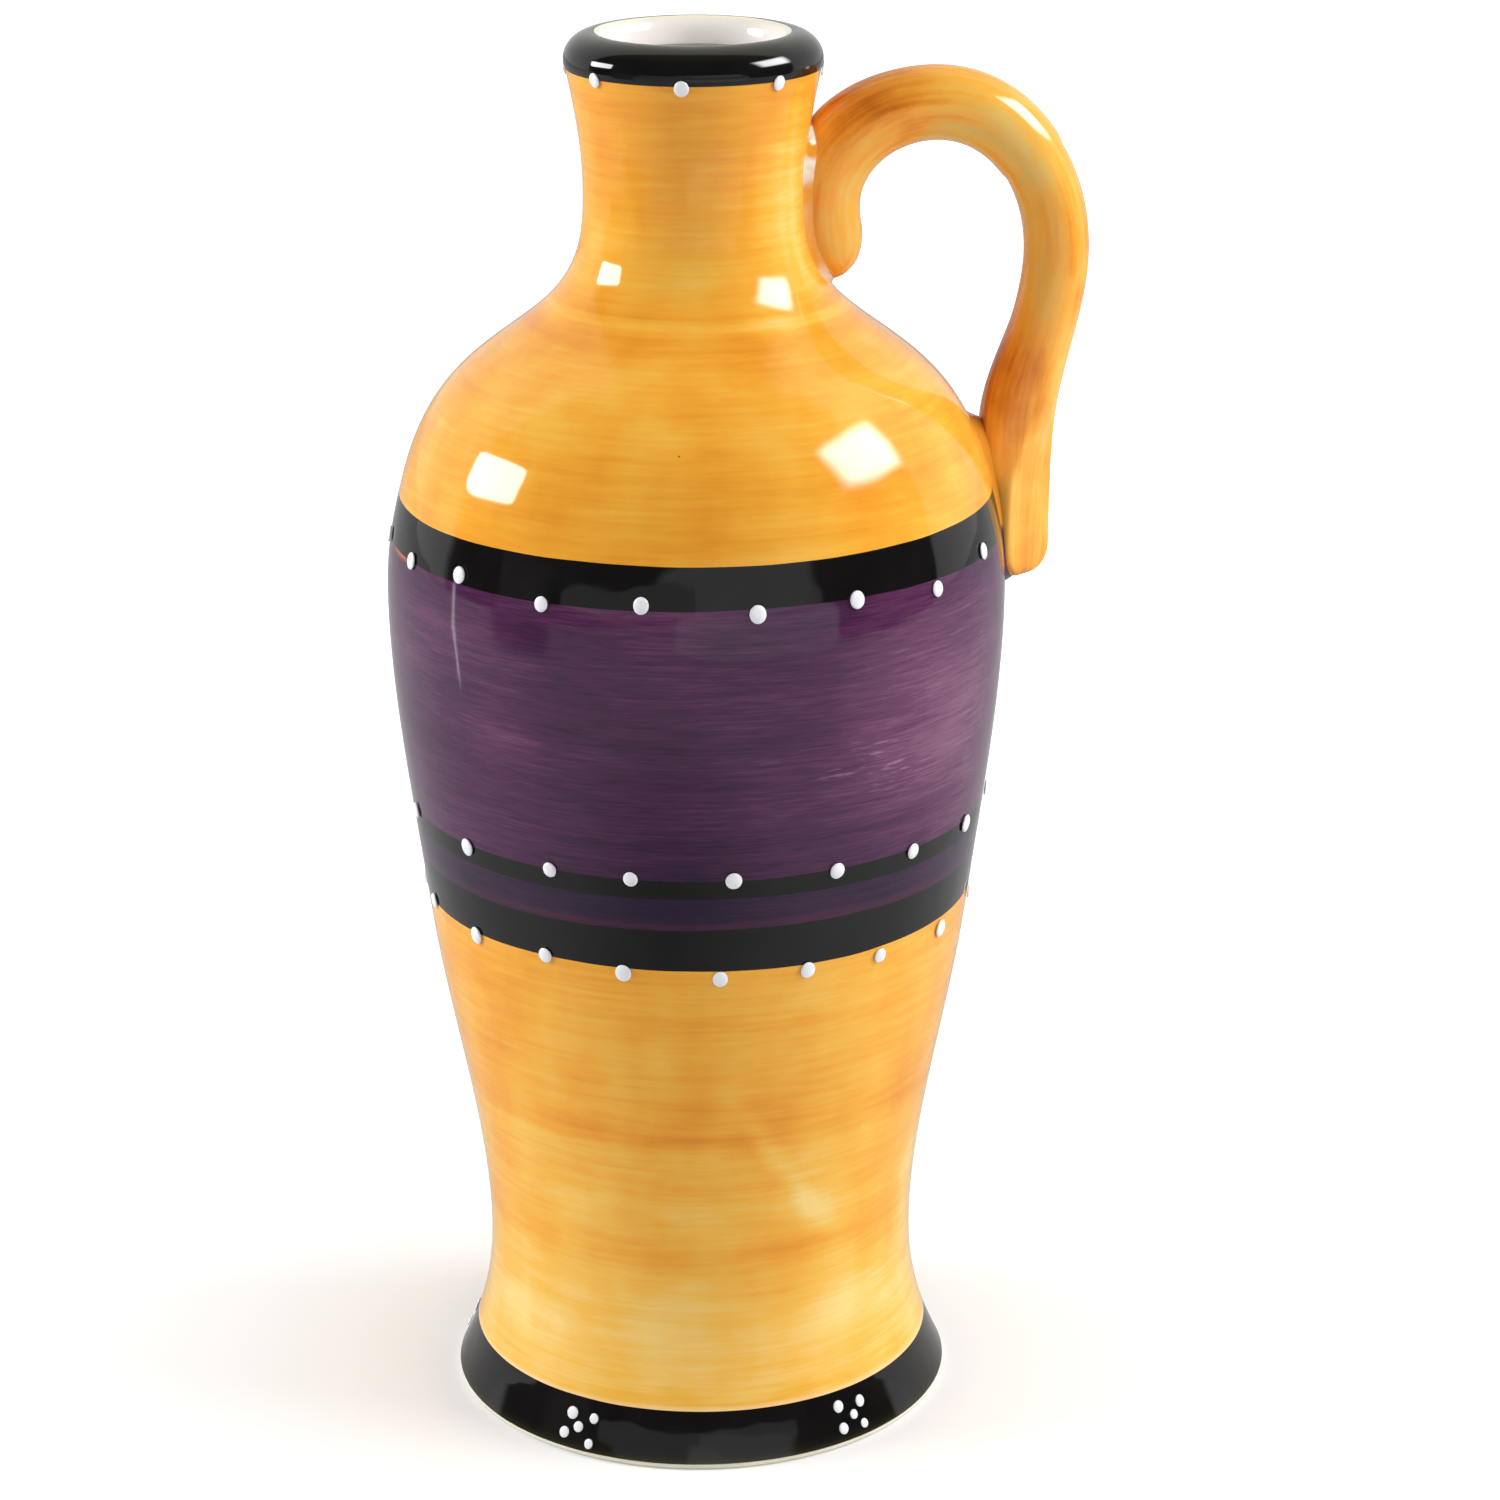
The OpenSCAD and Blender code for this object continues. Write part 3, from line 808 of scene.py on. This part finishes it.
def makeClay():
    soften = foot["soften"]
    ringIn, ringOut = float(footFace.min()), float(footFace.max())
    bareTop = edgeHeights[0]
    rows = [
        (0.0, recessHeight),
        (ringIn - recessHeight / 2 - soften, recessHeight),
        (ringIn - recessHeight / 2, recessHeight - soften / 2),
        (ringIn - soften / 2, soften),
        (ringIn + soften / 2, 0.0),
        (ringOut - soften, 0.0),
        (ringOut - soften * 0.3, soften * 0.12),
        (ringOut + foot["bareSwell"], soften * 0.5),
        (ringOut + foot["bareSwell"] * 2, soften),
        (wallRadius(bareTop) - foot["glazeEdge"], bareTop - foot["glazeStep"]),
        (wallRadius(bareTop) - coatDepth * foot["glazeShare"], bareTop + foot["glazeStep"]),
    ]
    for height in np.arange(bareTop + mm, edgeHeights[-1], wheel["hiddenStep"]):
        rows.append((wallRadius(height) - coatDepth, float(height)))
    underLip = range(round(lipStart), lip["paintEnd"] + 1, 2 * lip["turnStep"])
    rows += [lipPlace(turn, coatDepth) for turn in underLip]
    rows += hollowLine(lining["depth"])
    dress(turnPiece("clayBody", rows, lambda row, angle: row), "clay_body", "bisque")


makeClay()
print("clay body turned")

# The handle: a pulled bar, up the neck, over the crown and down onto the shoulder
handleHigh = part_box("handle")[1]
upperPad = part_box("upper_slip_pad")
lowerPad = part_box("lower_slip_pad")
bar = {
    "thick": 11.8 * mm,
    "wide": 13 * mm,
    "crownSwell": 1.6 * mm,  # thicker from the neck to the crown
    "archSwell": 1.3 * mm,  # outside the bend over the neck
    "crownLift": 0.7 * mm,  # pulled up a little by hand
    "neckShare": 0.45,  # of the bar's length, before it turns down
    "pressLength": 50 * mm,  # the end is pressed flat by a thumb
    "pressGain": 1.4,  # and fully flat before its tip
    "pressWay": 40,  # degrees from the front to the right
    "pressGap": 2.7 * mm,  # from the bar's middle to the flat
    "pressOut": 0.95 * mm,
    "squareRise": 14 * mm,  # where the leg's inner side turns square, to sit on the wall
    "square": 0.7,
    "legSwell": 1.8 * mm,  # inside, where it comes down to the shoulder
    "crownOut": 43.5 * mm,
    "crownRise": 18 * mm,
    "bowBelow": 27 * mm,
    "legFall": 36 * mm,
    "legOut": 2.6 * mm,
    "seatOut": 3 * mm,
    "tipRound": 9 * mm,
    "padRim": 1.2 * mm,
    "clearance": 0.15 * mm,  # from the glaze, where the bar lies on the wall
    "sides": 40,
    "ringStep": 1.2 * mm,
    "seatPoints": 12,
    "bendStep": 6,
    "legPoints": 20,
    "smoothing": 6,
    "mergeGap": 0.01 * mm,
}
tipHeight = upperPad[0].z + bar["padRim"]
endHeight = lowerPad[0].z + bar["padRim"]
crownHeight = handleHigh.z - (bar["thick"] + bar["crownSwell"]) / 2 + bar["crownLift"]
bowReach = handleHigh.x - bar["thick"] / 2
seatHeight = crownHeight - bar["crownRise"]
bowHeight = crownHeight - bar["bowBelow"]
legHeight = bowHeight - bar["legFall"]
legReach = float(wallRadii.max()) + bar["legOut"]


def seatReach(height):
    return wallRadius(height) + bar["seatOut"]


def ease(share):
    return share * share * (3 - 2 * share)


def barRoute():
    # middle line of the bar in the plane of the handle, as x and z
    seatHeights = np.linspace(tipHeight, seatHeight, bar["seatPoints"])
    route = [(seatReach(height), height) for height in seatHeights]
    neckGap = bar["crownOut"] - seatReach(seatHeight)
    bendStep = bar["bendStep"]
    for turn in range(bendStep, 91, bendStep):
        angle = math.radians(turn)
        reach = bar["crownOut"] - neckGap * math.cos(angle)
        route.append((reach, seatHeight + bar["crownRise"] * math.sin(angle)))
    for turn in range(90 - bendStep, -1, -bendStep):
        angle = math.radians(turn)
        reach = bar["crownOut"] + (bowReach - bar["crownOut"]) * math.cos(angle)
        route.append((reach, bowHeight + bar["bowBelow"] * math.sin(angle)))
    for share in np.linspace(1 / bar["legPoints"], 1, bar["legPoints"]):
        reach = bowReach + (legReach - bowReach) * ease(share)
        route.append((reach, bowHeight - bar["legFall"] * share))
    for height in np.linspace(legHeight, endHeight, bar["seatPoints"])[1:]:
        route.append((legReach, height))
    route = np.array(route)
    lengths = np.concatenate([[0], np.cumsum(np.hypot(*np.diff(route, axis=0).T))])
    even = np.linspace(0, lengths[-1], round(lengths[-1] / bar["ringStep"]) + 1)
    route = np.stack([np.interp(even, lengths, route[:, 0]), np.interp(even, lengths, route[:, 1])], axis=1)
    evenOut(route, bar["smoothing"])
    return route, even


def roundEnd(gap, length):
    if gap >= length:
        return 1.0
    return math.sqrt(max(0.0, 1 - (1 - gap / length) ** 2))


def barRing(route, even, index):
    # points of one ring: x, y, z, and the spot that the brush strokes are drawn from
    x, z = route[index]
    way = route[min(index + 1, len(route) - 1)] - route[max(index - 1, 0)]
    way = way / np.hypot(*way)
    along = even[index]
    rest = even[-1] - along
    share = min(roundEnd(along, bar["tipRound"]), roundEnd(rest, bar["thick"] / 2))
    onNeck = along < even[-1] * bar["neckShare"]
    past = max(0.0, x - bar["crownOut"]) / (bowReach - bar["crownOut"])
    swell = bar["crownSwell"] * (1 - past ** 2) if onNeck or x < bar["crownOut"] else 0.0
    half = (bar["thick"] + max(0.0, swell)) / 2
    arch = 0.0
    if x < bar["crownOut"] and z > seatHeight:
        rise = min(1.0, (z - seatHeight) / bar["crownRise"])
        arch = bar["archSwell"] * 4 * rise * (1 - rise)
    leg = 0.0
    square = 0.0
    if not onNeck:
        swellMiddle = legHeight + bar["legFall"] / 6
        swellReach = bar["legFall"] / 2
        leg = bar["legSwell"] * max(0.0, 1 - ((z - swellMiddle) / swellReach) ** 2) ** 2
        square = bar["square"] * ease(min(1.0, max(0.0, (legHeight - z) / bar["squareRise"] + 1)))
    press = ease(min(1.0, bar["pressGain"] * max(0.0, 1 - rest / bar["pressLength"])))
    turn = math.radians(bar["pressWay"])
    gap = bar["pressGap"] + (1 - press) * bar["thick"] / 2
    points = []
    for side in range(bar["sides"]):
        angle = 2 * math.pi * side / bar["sides"]
        deep = (half + leg if math.cos(angle) > 0 else half + arch) * math.cos(angle) * share
        spread = math.sin(angle)
        if math.cos(angle) > 0:
            spread = math.copysign(abs(spread) ** (1 - square), spread)
        wide = bar["wide"] / 2 * spread * share
        if press > 0:
            over = max(0.0, -deep * math.sin(turn) - wide * math.cos(turn) - gap)
            deep += over * math.sin(turn) - bar["pressOut"] * press * share
            wide += over * math.cos(turn)
        place = Vector((x + way[1] * deep, wide, z - way[0] * deep))
        skin = wallRadius(min(place.z, edgeHeights[-1])) + bar["clearance"]
        place.x = max(place.x, math.sqrt(max(0.0, skin * skin - wide * wide)))
        points.append((place, Vector((half * math.cos(angle), half * math.sin(angle), along))))
    return points


def makeHandle():
    route, even = barRoute()
    rings = [barRing(route, even, index) for index in range(len(route))]
    circle = bpy.ops.mesh.primitive_circle_add
    radius = bar["thick"] / 2
    piece = addShape(circle, "loopHandle", vertices=bar["sides"], radius=radius, fill_type="NOTHING")
    editAll()
    for _ in range(len(route) - 1):
        bpy.ops.mesh.extrude_region_move(TRANSFORM_OT_translate={"value": (0, 0, bar["ringStep"])})
    bpy.ops.object.mode_set(mode="OBJECT")
    spots = piece.data.attributes.new("strokeSpot", "FLOAT_VECTOR", "POINT")
    # each ring of points is at its own height until it is laid along the route
    for vert in piece.data.vertices:
        ring = min(len(route) - 1, round(vert.co.z / bar["ringStep"]))
        side = round(math.atan2(vert.co.y, vert.co.x) / (2 * math.pi) * bar["sides"]) % bar["sides"]
        place, spot = rings[ring][side]
        vert.co = place
        spots.data[vert.index].vector = spot
    editAll()
    bpy.ops.mesh.remove_doubles(threshold=bar["mergeGap"])
    bpy.ops.mesh.select_all(action="DESELECT")
    bpy.ops.mesh.select_non_manifold()
    bpy.ops.mesh.edge_face_add()
    bpy.ops.mesh.select_all(action="SELECT")
    faceOutwards()
    applyModifier(piece, "soften", "SUBSURF", levels=1, render_levels=1)
    bpy.ops.object.shade_smooth()
    dress(piece, "handle", "yellow_glaze", handleMaterial)


makeHandle()
print("handle pulled")

# Slip pads: low mounds that rise from the glaze to the bar's side
mound = {
    "rise": 1.8 * mm,
    "spread": 1.9 * mm,
    "tuck": 0.35 * mm,  # how far the mound's skirt is under the glaze
    "thick": 0.9 * mm,
    "step": 0.45 * mm,
    "upperInset": 0.6 * mm,  # the mound's top is this far inside the bar's width
    "lowerInset": 1.5 * mm,
}


def makePad(name, node, box, inset):
    low, high = box
    half = bar["wide"] / 2 - inset
    spread = mound["spread"]
    lowEnd = low.z + bar["padRim"] + half
    highEnd = high.z - bar["padRim"] - half
    wide = 2 * (half + spread)
    tall = high.z - low.z + 2 * spread
    middle = (low.z + high.z) / 2
    columns, lines = round(wide / mound["step"]), round(tall / mound["step"])
    grid = bpy.ops.mesh.primitive_grid_add
    piece = addShape(grid, name, x_subdivisions=columns, y_subdivisions=lines, size=1)
    for vert in piece.data.vertices:
        across = vert.co.x * wide
        height = middle + vert.co.y * tall
        nearest = min(max(height, lowEnd), highEnd)
        gap = math.hypot(across, height - nearest) - half
        share = min(1.0, max(0.0, gap / spread))
        rise = (mound["rise"] + mound["tuck"]) * (1 - share) ** 2 - mound["tuck"]
        radius = wallRadius(min(height, edgeHeights[-1])) + rise
        angle = across / radius
        vert.co = (radius * math.cos(angle), radius * math.sin(angle), height)
    editAll()
    faceOutwards()
    if piece.data.polygons[0].normal.x < 0:
        piece.data.flip_normals()
    applyModifier(piece, "wall", "SOLIDIFY", thickness=mound["thick"], offset=-1)
    smoothOff(piece)
    dress(piece, node, "joint_slip")


makePad("upperSlipPad", "upper_slip_pad", upperPad, mound["upperInset"])
makePad("lowerSlipPad", "lower_slip_pad", lowerPad, mound["lowerInset"])
print("slip pads laid")

# Trailed dots: one drop, modelled once and set on the wall at each CAD dot's place
drop = {
    "segments": 20,
    "rings": 14,
    "sink": 0.3,  # share of the drop's radius that is under the glaze
    "flat": 0.32,
    "lipRadius": 1.22 * mm,
    "bandRadius": 1.42 * mm,
    "petalRadius": 1.0 * mm,
    "sizeSpread": 0.10,
    "stretch": 1.1,  # drops sag a little down the wall
    "stretchSpread": (0.4, 1.6),
    "wander": 0.5 * mm,
    "petalWander": 0.3,  # share of it
    "reach": 4 * mm,  # a drop seen in the photo takes the place of a CAD dot this near
    "mergeGap": 0.005 * mm,
    "smoothAngle": 60,
    "firstSeed": 11,
}

# azimuth in degrees and height in mm of the drops that the photo shows, and a petal's own share of the size
dropsSeen = {
    "lip_dots": [(-144.4, 252.0), (-101.2, 251.7), (-55.8, 251.8)],
    "shoulder_dots": [
        (-160.7, 168.5), (-143.9, 169.8), (-124.5, 168.0), (-105.8, 169.3),
        (-85.3, 167.7), (-66.5, 168.3), (-47.5, 166.8), (-29.7, 169.3),
    ],
    "line_dots": [
        (-170.0, 118.6), (-146.4, 118.4), (-125.2, 118.7), (-108.8, 118.9),
        (-89.4, 118.8), (-68.9, 118.5), (-50.4, 118.3), (-30.8, 118.1),
    ],
    "waist_dots": [
        (-167.6, 101.4), (-147.8, 100.5), (-128.3, 101.2), (-111.2, 100.1),
        (-91.8, 99.4), (-73.8, 99.6), (-56.4, 99.1), (-36.1, 98.9),
    ],
    "foot_flowers": [
        (-128.6, 7.1, 1.05), (-122.7, 7.0, 0.82), (-126.4, 5.0, 0.9), (-129.8, 3.5, 0.98),
        (-123.0, 2.6, 0.78), (-61.1, 7.3, 1.15), (-54.5, 6.9, 0.95), (-57.2, 5.1, 0.92),
        (-61.0, 3.4, 0.98), (-54.9, 3.0, 0.8),
    ],
}


def dropPlace(node, angle, height, chance):
    # the drop's own place in the photo, or the CAD dot's place with a small wander
    best = None
    for azimuth, seenHeight, *share in dropsSeen[node]:
        turn = math.remainder(math.radians(azimuth) - angle, 2 * math.pi)
        gap = math.hypot(turn * wallRadius(height), seenHeight * mm - height)
        if gap < drop["reach"] and (best is None or gap < best[0]):
            best = (gap, math.radians(azimuth), seenHeight * mm, share[0] if share else 1)
    if best:
        return best[1:]
    drift = drop["wander"] * (drop["petalWander"] if node == "foot_flowers" else 1)
    turn = chance.uniform(-1, 1) * drift / wallRadius(height)
    return angle + turn, height + chance.uniform(-1, 1) * drift, 1


def makeDrop():
    ball = bpy.ops.mesh.primitive_uv_sphere_add
    bead = addShape(ball, "dropPattern", segments=drop["segments"], ring_count=drop["rings"], radius=1)
    editAll()
    bpy.ops.mesh.bisect(plane_co=(0, 0, -drop["sink"]), plane_no=(0, 0, 1), clear_inner=True, use_fill=True)
    bpy.ops.mesh.select_all(action="SELECT")
    bpy.ops.transform.resize(value=(1, 1, drop["flat"]))
    faceOutwards()
    return bead


def islandsOf(node):
    # middle of each separate solid of a CAD node, from a merged copy
    bpy.ops.object.select_all(action="DESELECT")
    source = frame["nodes"][node]
    copy = bpy.data.objects.new("islandCopy", source.data.copy())
    bpy.context.scene.collection.objects.link(copy)
    copy.select_set(True)
    bpy.context.view_layer.objects.active = copy
    editAll()
    bpy.ops.mesh.remove_doubles(threshold=drop["mergeGap"])
    bpy.ops.mesh.separate(type="LOOSE")
    bpy.ops.object.mode_set(mode="OBJECT")
    middles = []
    for part in list(bpy.context.selected_objects):
        middle = sum((vert.co for vert in part.data.vertices), Vector()) / len(part.data.vertices)
        middles.append((math.atan2(middle.y, middle.x), middle.z))
        bpy.data.objects.remove(part)
    return sorted(middles)


def makeDots(name, node, radius, seed):
    chance = random.Random(seed)
    copies = []
    for angle, height in islandsOf(node):
        angle, height, share = dropPlace(node, angle, height, chance)
        normal = wallNormal(angle, height)
        across = Vector((-math.sin(angle), math.cos(angle), 0))
        size = radius * share * (1 + chance.uniform(-1, 1) * drop["sizeSpread"])
        stretch = 1 + (drop["stretch"] - 1) * chance.uniform(*drop["stretchSpread"])
        axes = Matrix((across * size, normal.cross(across) * size * stretch, normal * size))
        reach = wallRadius(height)
        place = Matrix.Translation((reach * math.cos(angle), reach * math.sin(angle), height))
        copy = dropPattern.copy()
        copy.data = dropPattern.data.copy()
        copy.data.transform(place @ axes.transposed().to_4x4())
        bpy.context.scene.collection.objects.link(copy)
        copies.append(copy)
    bpy.ops.object.select_all(action="DESELECT")
    for copy in copies:
        copy.select_set(True)
    bpy.context.view_layer.objects.active = copies[0]
    bpy.ops.object.join()
    piece = bpy.context.object
    piece.name = name
    piece.data.name = name
    smoothOff(piece, drop["smoothAngle"])
    dress(piece, node, "white_enamel")
    return len(copies)


dropPattern = makeDrop()
dotRows = [
    ("lipDots", "lip_dots", drop["lipRadius"]),
    ("shoulderDots", "shoulder_dots", drop["bandRadius"]),
    ("lineDots", "line_dots", drop["bandRadius"]),
    ("waistDots", "waist_dots", drop["bandRadius"]),
    ("footFlowers", "foot_flowers", drop["petalRadius"]),
]
dotCount = 0
for seed, (name, node, radius) in enumerate(dotRows, drop["firstSeed"]):
    dotCount += makeDots(name, node, radius, seed)
bpy.data.objects.remove(dropPattern)
print("dots trailed:", dotCount)

# Studio: a pale table, two softboxes at the sides, low fill light and a soft room
studio = {
    "target": Vector((0, 0, 188 * mm)),
    "boxes": {  # azimuth, elevation and roll; the glaze reflects only a box's bright front, where it has one
        "leftSoftbox": {
            "way": (-96, 19.5, 13), "distance": 0.9, "size": (0.42, 0.235), "power": 5.2,
            "front": 20, "soft": 0.08,
        },
        "rightSoftbox": {
            "way": (77, 34.5, -7), "distance": 0.9, "size": (0.58, 0.42), "power": 7,
            "front": 22, "soft": 0.5,
        },
        "leftFill": {"way": (-105, 0, 0), "distance": 1.3, "size": (0.9, 0.9), "power": 8},
        "rightFill": {"way": (100, 0, 0), "distance": 1.3, "size": (0.9, 0.9), "power": 6},
        "frontFill": {"way": (38, 0, 0), "distance": 1.3, "size": (0.9, 0.9), "power": 3.2},
    },
    "ambient": 0.5,
    "roomBright": 0.76,  # what the glaze reflects of the pale room behind the jar
    "roomDark": 0.03,  # and of its dark sides and ceiling
    "roomEdge": (0.16, 0.23),  # where the pale room begins, behind the jar
    "roomTurn": 0.16,
    "tableSide": (-1.5, 1.5),
    "tableDepth": (-6.0, 3.0),
    "tableColor": "#d8d8d8",
    "tableRoughness": 0.9,
    "tableLift": (0.2, 0.8),  # light of the table top in the camera's eye only, by the jar and far from it
    "liftReach": (0.05, 0.3),
    "tableGlow": 0.34,  # and in the glaze, where the table's own colour is this dark
    "tableGlossColor": "#6c6c6c",
    "tableShade": 0.15,  # share of that glow in front of the jar
    "shadePlace": (-60 * mm, -200 * mm, 0),
    "shadeReach": 0.2,
    "cards": {  # seen only in the glaze: distance, low and high edge, span in degrees, light, soft edge
        "frontCard": (0.62, (0.168, 0.262), (-55, 39), 0.42, 0.06),
        "brightCard": (0.6, (0.168, 0.30), (-22, 38), 0.68, 0.2),
        "lowCard": (0.3, (0.1, 0.172), (-14, 43), 0.85, 0.12),
        "leftFlag": (0.54, (0.11, 0.26), (-102.5, -78), 0, 0.12),
        "innerFlag": (0.55, (0.0, 0.26), (-84, -56), 0.12, 0.4),
        "leftStrip": (0.15, (0.105, 0.166), (-89.5, -88.2), 4, 0.35),
        "rightFlag": (0.74, (0.03, 0.40), (43, 90), 0, 0.06),
    },
}


def makeBoard(name, stand, size, light, soft):
    # a glowing board that only the glaze sees, with soft edges
    board = addShape(bpy.ops.mesh.primitive_plane_add, name, size=1)
    board.data.transform(stand @ Matrix.Diagonal((*size, 1, 1)))
    material, tree, spot = startMaterial(name + "Face")
    corner = spot.node.outputs["UV"]
    middle = addNode(tree, "VectorMath", {0: corner, 1: (2, 2, 0), 2: (-1, -1, 0)}, operation="MULTIPLY_ADD")
    square = addNode(tree, "VectorMath", {0: middle, 1: middle}, operation="MULTIPLY")
    fourth = addNode(tree, "VectorMath", {0: square, 1: square}, operation="MULTIPLY")
    total = addNode(tree, "VectorMath", {0: fourth, 1: fourth}, operation="DOT_PRODUCT").outputs["Value"]
    rim = addNode(tree, "Math", {0: total, 1: 1 / 8}, operation="POWER")  # a square with round corners
    feeds = {"Value": rim, "From Min": 1, "From Max": 1 - soft}
    mask = addNode(tree, "MapRange", feeds, interpolation_type="SMOOTHSTEP")
    glow = addNode(tree, "Emission", {"Strength": light})
    clear = addNode(tree, "BsdfTransparent")
    face = addNode(tree, "MixShader", {0: mask, 1: clear, 2: glow})
    addNode(tree, "OutputMaterial", {"Surface": face})
    board.data.materials.append(material)
    board.visible_camera = False
    board.visible_diffuse = False
    board.visible_shadow = False


def makeSoftbox(name, box):
    azimuth, elevation, roll = (math.radians(value) for value in box["way"])
    level = math.cos(elevation)
    way = Vector((math.sin(azimuth) * level, -math.cos(azimuth) * level, math.sin(elevation)))
    turn = way.to_track_quat("Z", "Y").to_matrix() @ Matrix.Rotation(roll, 3, "Z")
    place = studio["target"] + way * box["distance"]
    lamp = addShape(bpy.ops.object.light_add, name, type="AREA", location=place)
    lamp.rotation_euler = turn.to_euler()
    lamp.data.shape = "RECTANGLE"
    lamp.data.size, lamp.data.size_y = box["size"]
    lamp.data.energy = box["power"]
    lamp.visible_glossy = False
    if "front" in box:
        stand = Matrix.Translation(place) @ turn.to_4x4()
        makeBoard(name + "Front", stand, box["size"], box["front"], box["soft"])


def makeRoom():
    world = bpy.data.worlds.new("softRoom")
    bpy.context.scene.world = world
    world.use_nodes = True
    tree = world.node_tree
    tree.nodes.clear()
    path = addNode(tree, "LightPath")
    way = addNode(tree, "TexCoord").outputs["Generated"]
    axes = addNode(tree, "SeparateXYZ", {0: way})
    # the glaze sees a pale room behind the jar, dark at its sides and above
    feeds = {0: axes.outputs["X"], 1: studio["roomTurn"], 2: axes.outputs["Y"]}
    behind = addNode(tree, "Math", feeds, operation="MULTIPLY_ADD")
    first, last = studio["roomEdge"]
    gloss = addNode(tree, "MapRange", {
        "Value": behind, "From Min": first, "From Max": last,
        "To Min": studio["roomDark"], "To Max": studio["roomBright"],
    })
    feeds = {0: path.outputs["Is Camera Ray"], 1: path.outputs["Is Transmission Ray"]}
    seen = addNode(tree, "Math", feeds, operation="MAXIMUM")
    plain = addNode(tree, "MapRange", {"Value": seen, "To Min": studio["ambient"], "To Max": 1})
    feeds = {0: path.outputs["Is Glossy Ray"], 2: plain, 3: gloss}
    strength = addNode(tree, "Mix", feeds, data_type="FLOAT")
    sky = addNode(tree, "Background", {"Color": (1, 1, 1, 1), "Strength": strength})
    addNode(tree, "OutputWorld", {"Surface": sky})


def makeTable():
    left, right = studio["tableSide"]
    front, back = studio["tableDepth"]
    table = addShape(bpy.ops.mesh.primitive_plane_add, "paleTable", size=1)
    middle = Matrix.Translation(((left + right) / 2, (front + back) / 2, 0))
    table.data.transform(middle @ Matrix.Diagonal((right - left, back - front, 1, 1)))
    material, tree, spot = startMaterial("paleTableTop")
    path = addNode(tree, "LightPath")
    gloss = path.outputs["Is Glossy Ray"]
    feeds = {0: gloss, 6: hexColor(studio["tableColor"]), 7: hexColor(studio["tableGlossColor"])}
    color = addNode(tree, "Mix", feeds, data_type="RGBA").outputs[2]
    # by the jar the lift is low, so that the shadow stays
    reach = addNode(tree, "VectorMath", {0: spot}, operation="LENGTH").outputs["Value"]
    near, far = studio["liftReach"]
    low, high = studio["tableLift"]
    feeds = {"Value": reach, "From Min": near, "From Max": far, "To Min": low, "To Max": high}
    lift = addNode(tree, "MapRange", feeds)
    lift = addNode(tree, "Math", {0: lift, 1: path.outputs["Is Camera Ray"]}, operation="MULTIPLY")
    gap = addNode(tree, "VectorMath", {0: spot, 1: studio["shadePlace"]}, operation="DISTANCE")
    glow = studio["tableGlow"]
    dim = glow * studio["tableShade"]
    feeds = {"Value": gap.outputs["Value"], "From Max": studio["shadeReach"], "To Min": dim, "To Max": glow}
    shade = addNode(tree, "MapRange", feeds, interpolation_type="SMOOTHSTEP")
    lift = addNode(tree, "Math", {0: gloss, 1: shade, 2: lift}, operation="MULTIPLY_ADD")
    finishMaterial(tree, {
        "Base Color": color, "Roughness": studio["tableRoughness"],
        "Emission Color": (1, 1, 1, 1), "Emission Strength": lift,
    })
    table.data.materials.append(material)


def makeCard(name, distance, edges, span, light, soft):
    low, high = edges
    first, last = (math.radians(edge) for edge in span)
    wide = 2 * distance * math.tan((last - first) / 2)
    turn = Matrix.Rotation((first + last) / 2, 4, "Z")
    upright = Matrix.Rotation(math.pi / 2, 4, "X")
    stand = Matrix.Translation((0, -distance, (low + high) / 2)) @ upright
    makeBoard(name, turn @ stand, (wide, high - low), light, soft)


for name, box in studio["boxes"].items():
    makeSoftbox(name, box)
for name, card in studio["cards"].items():
    makeCard(name, *card)
makeRoom()
makeTable()
bpy.context.scene.view_settings.view_transform = "Standard"
print("studio lit")

bpy.context.view_layer.update()
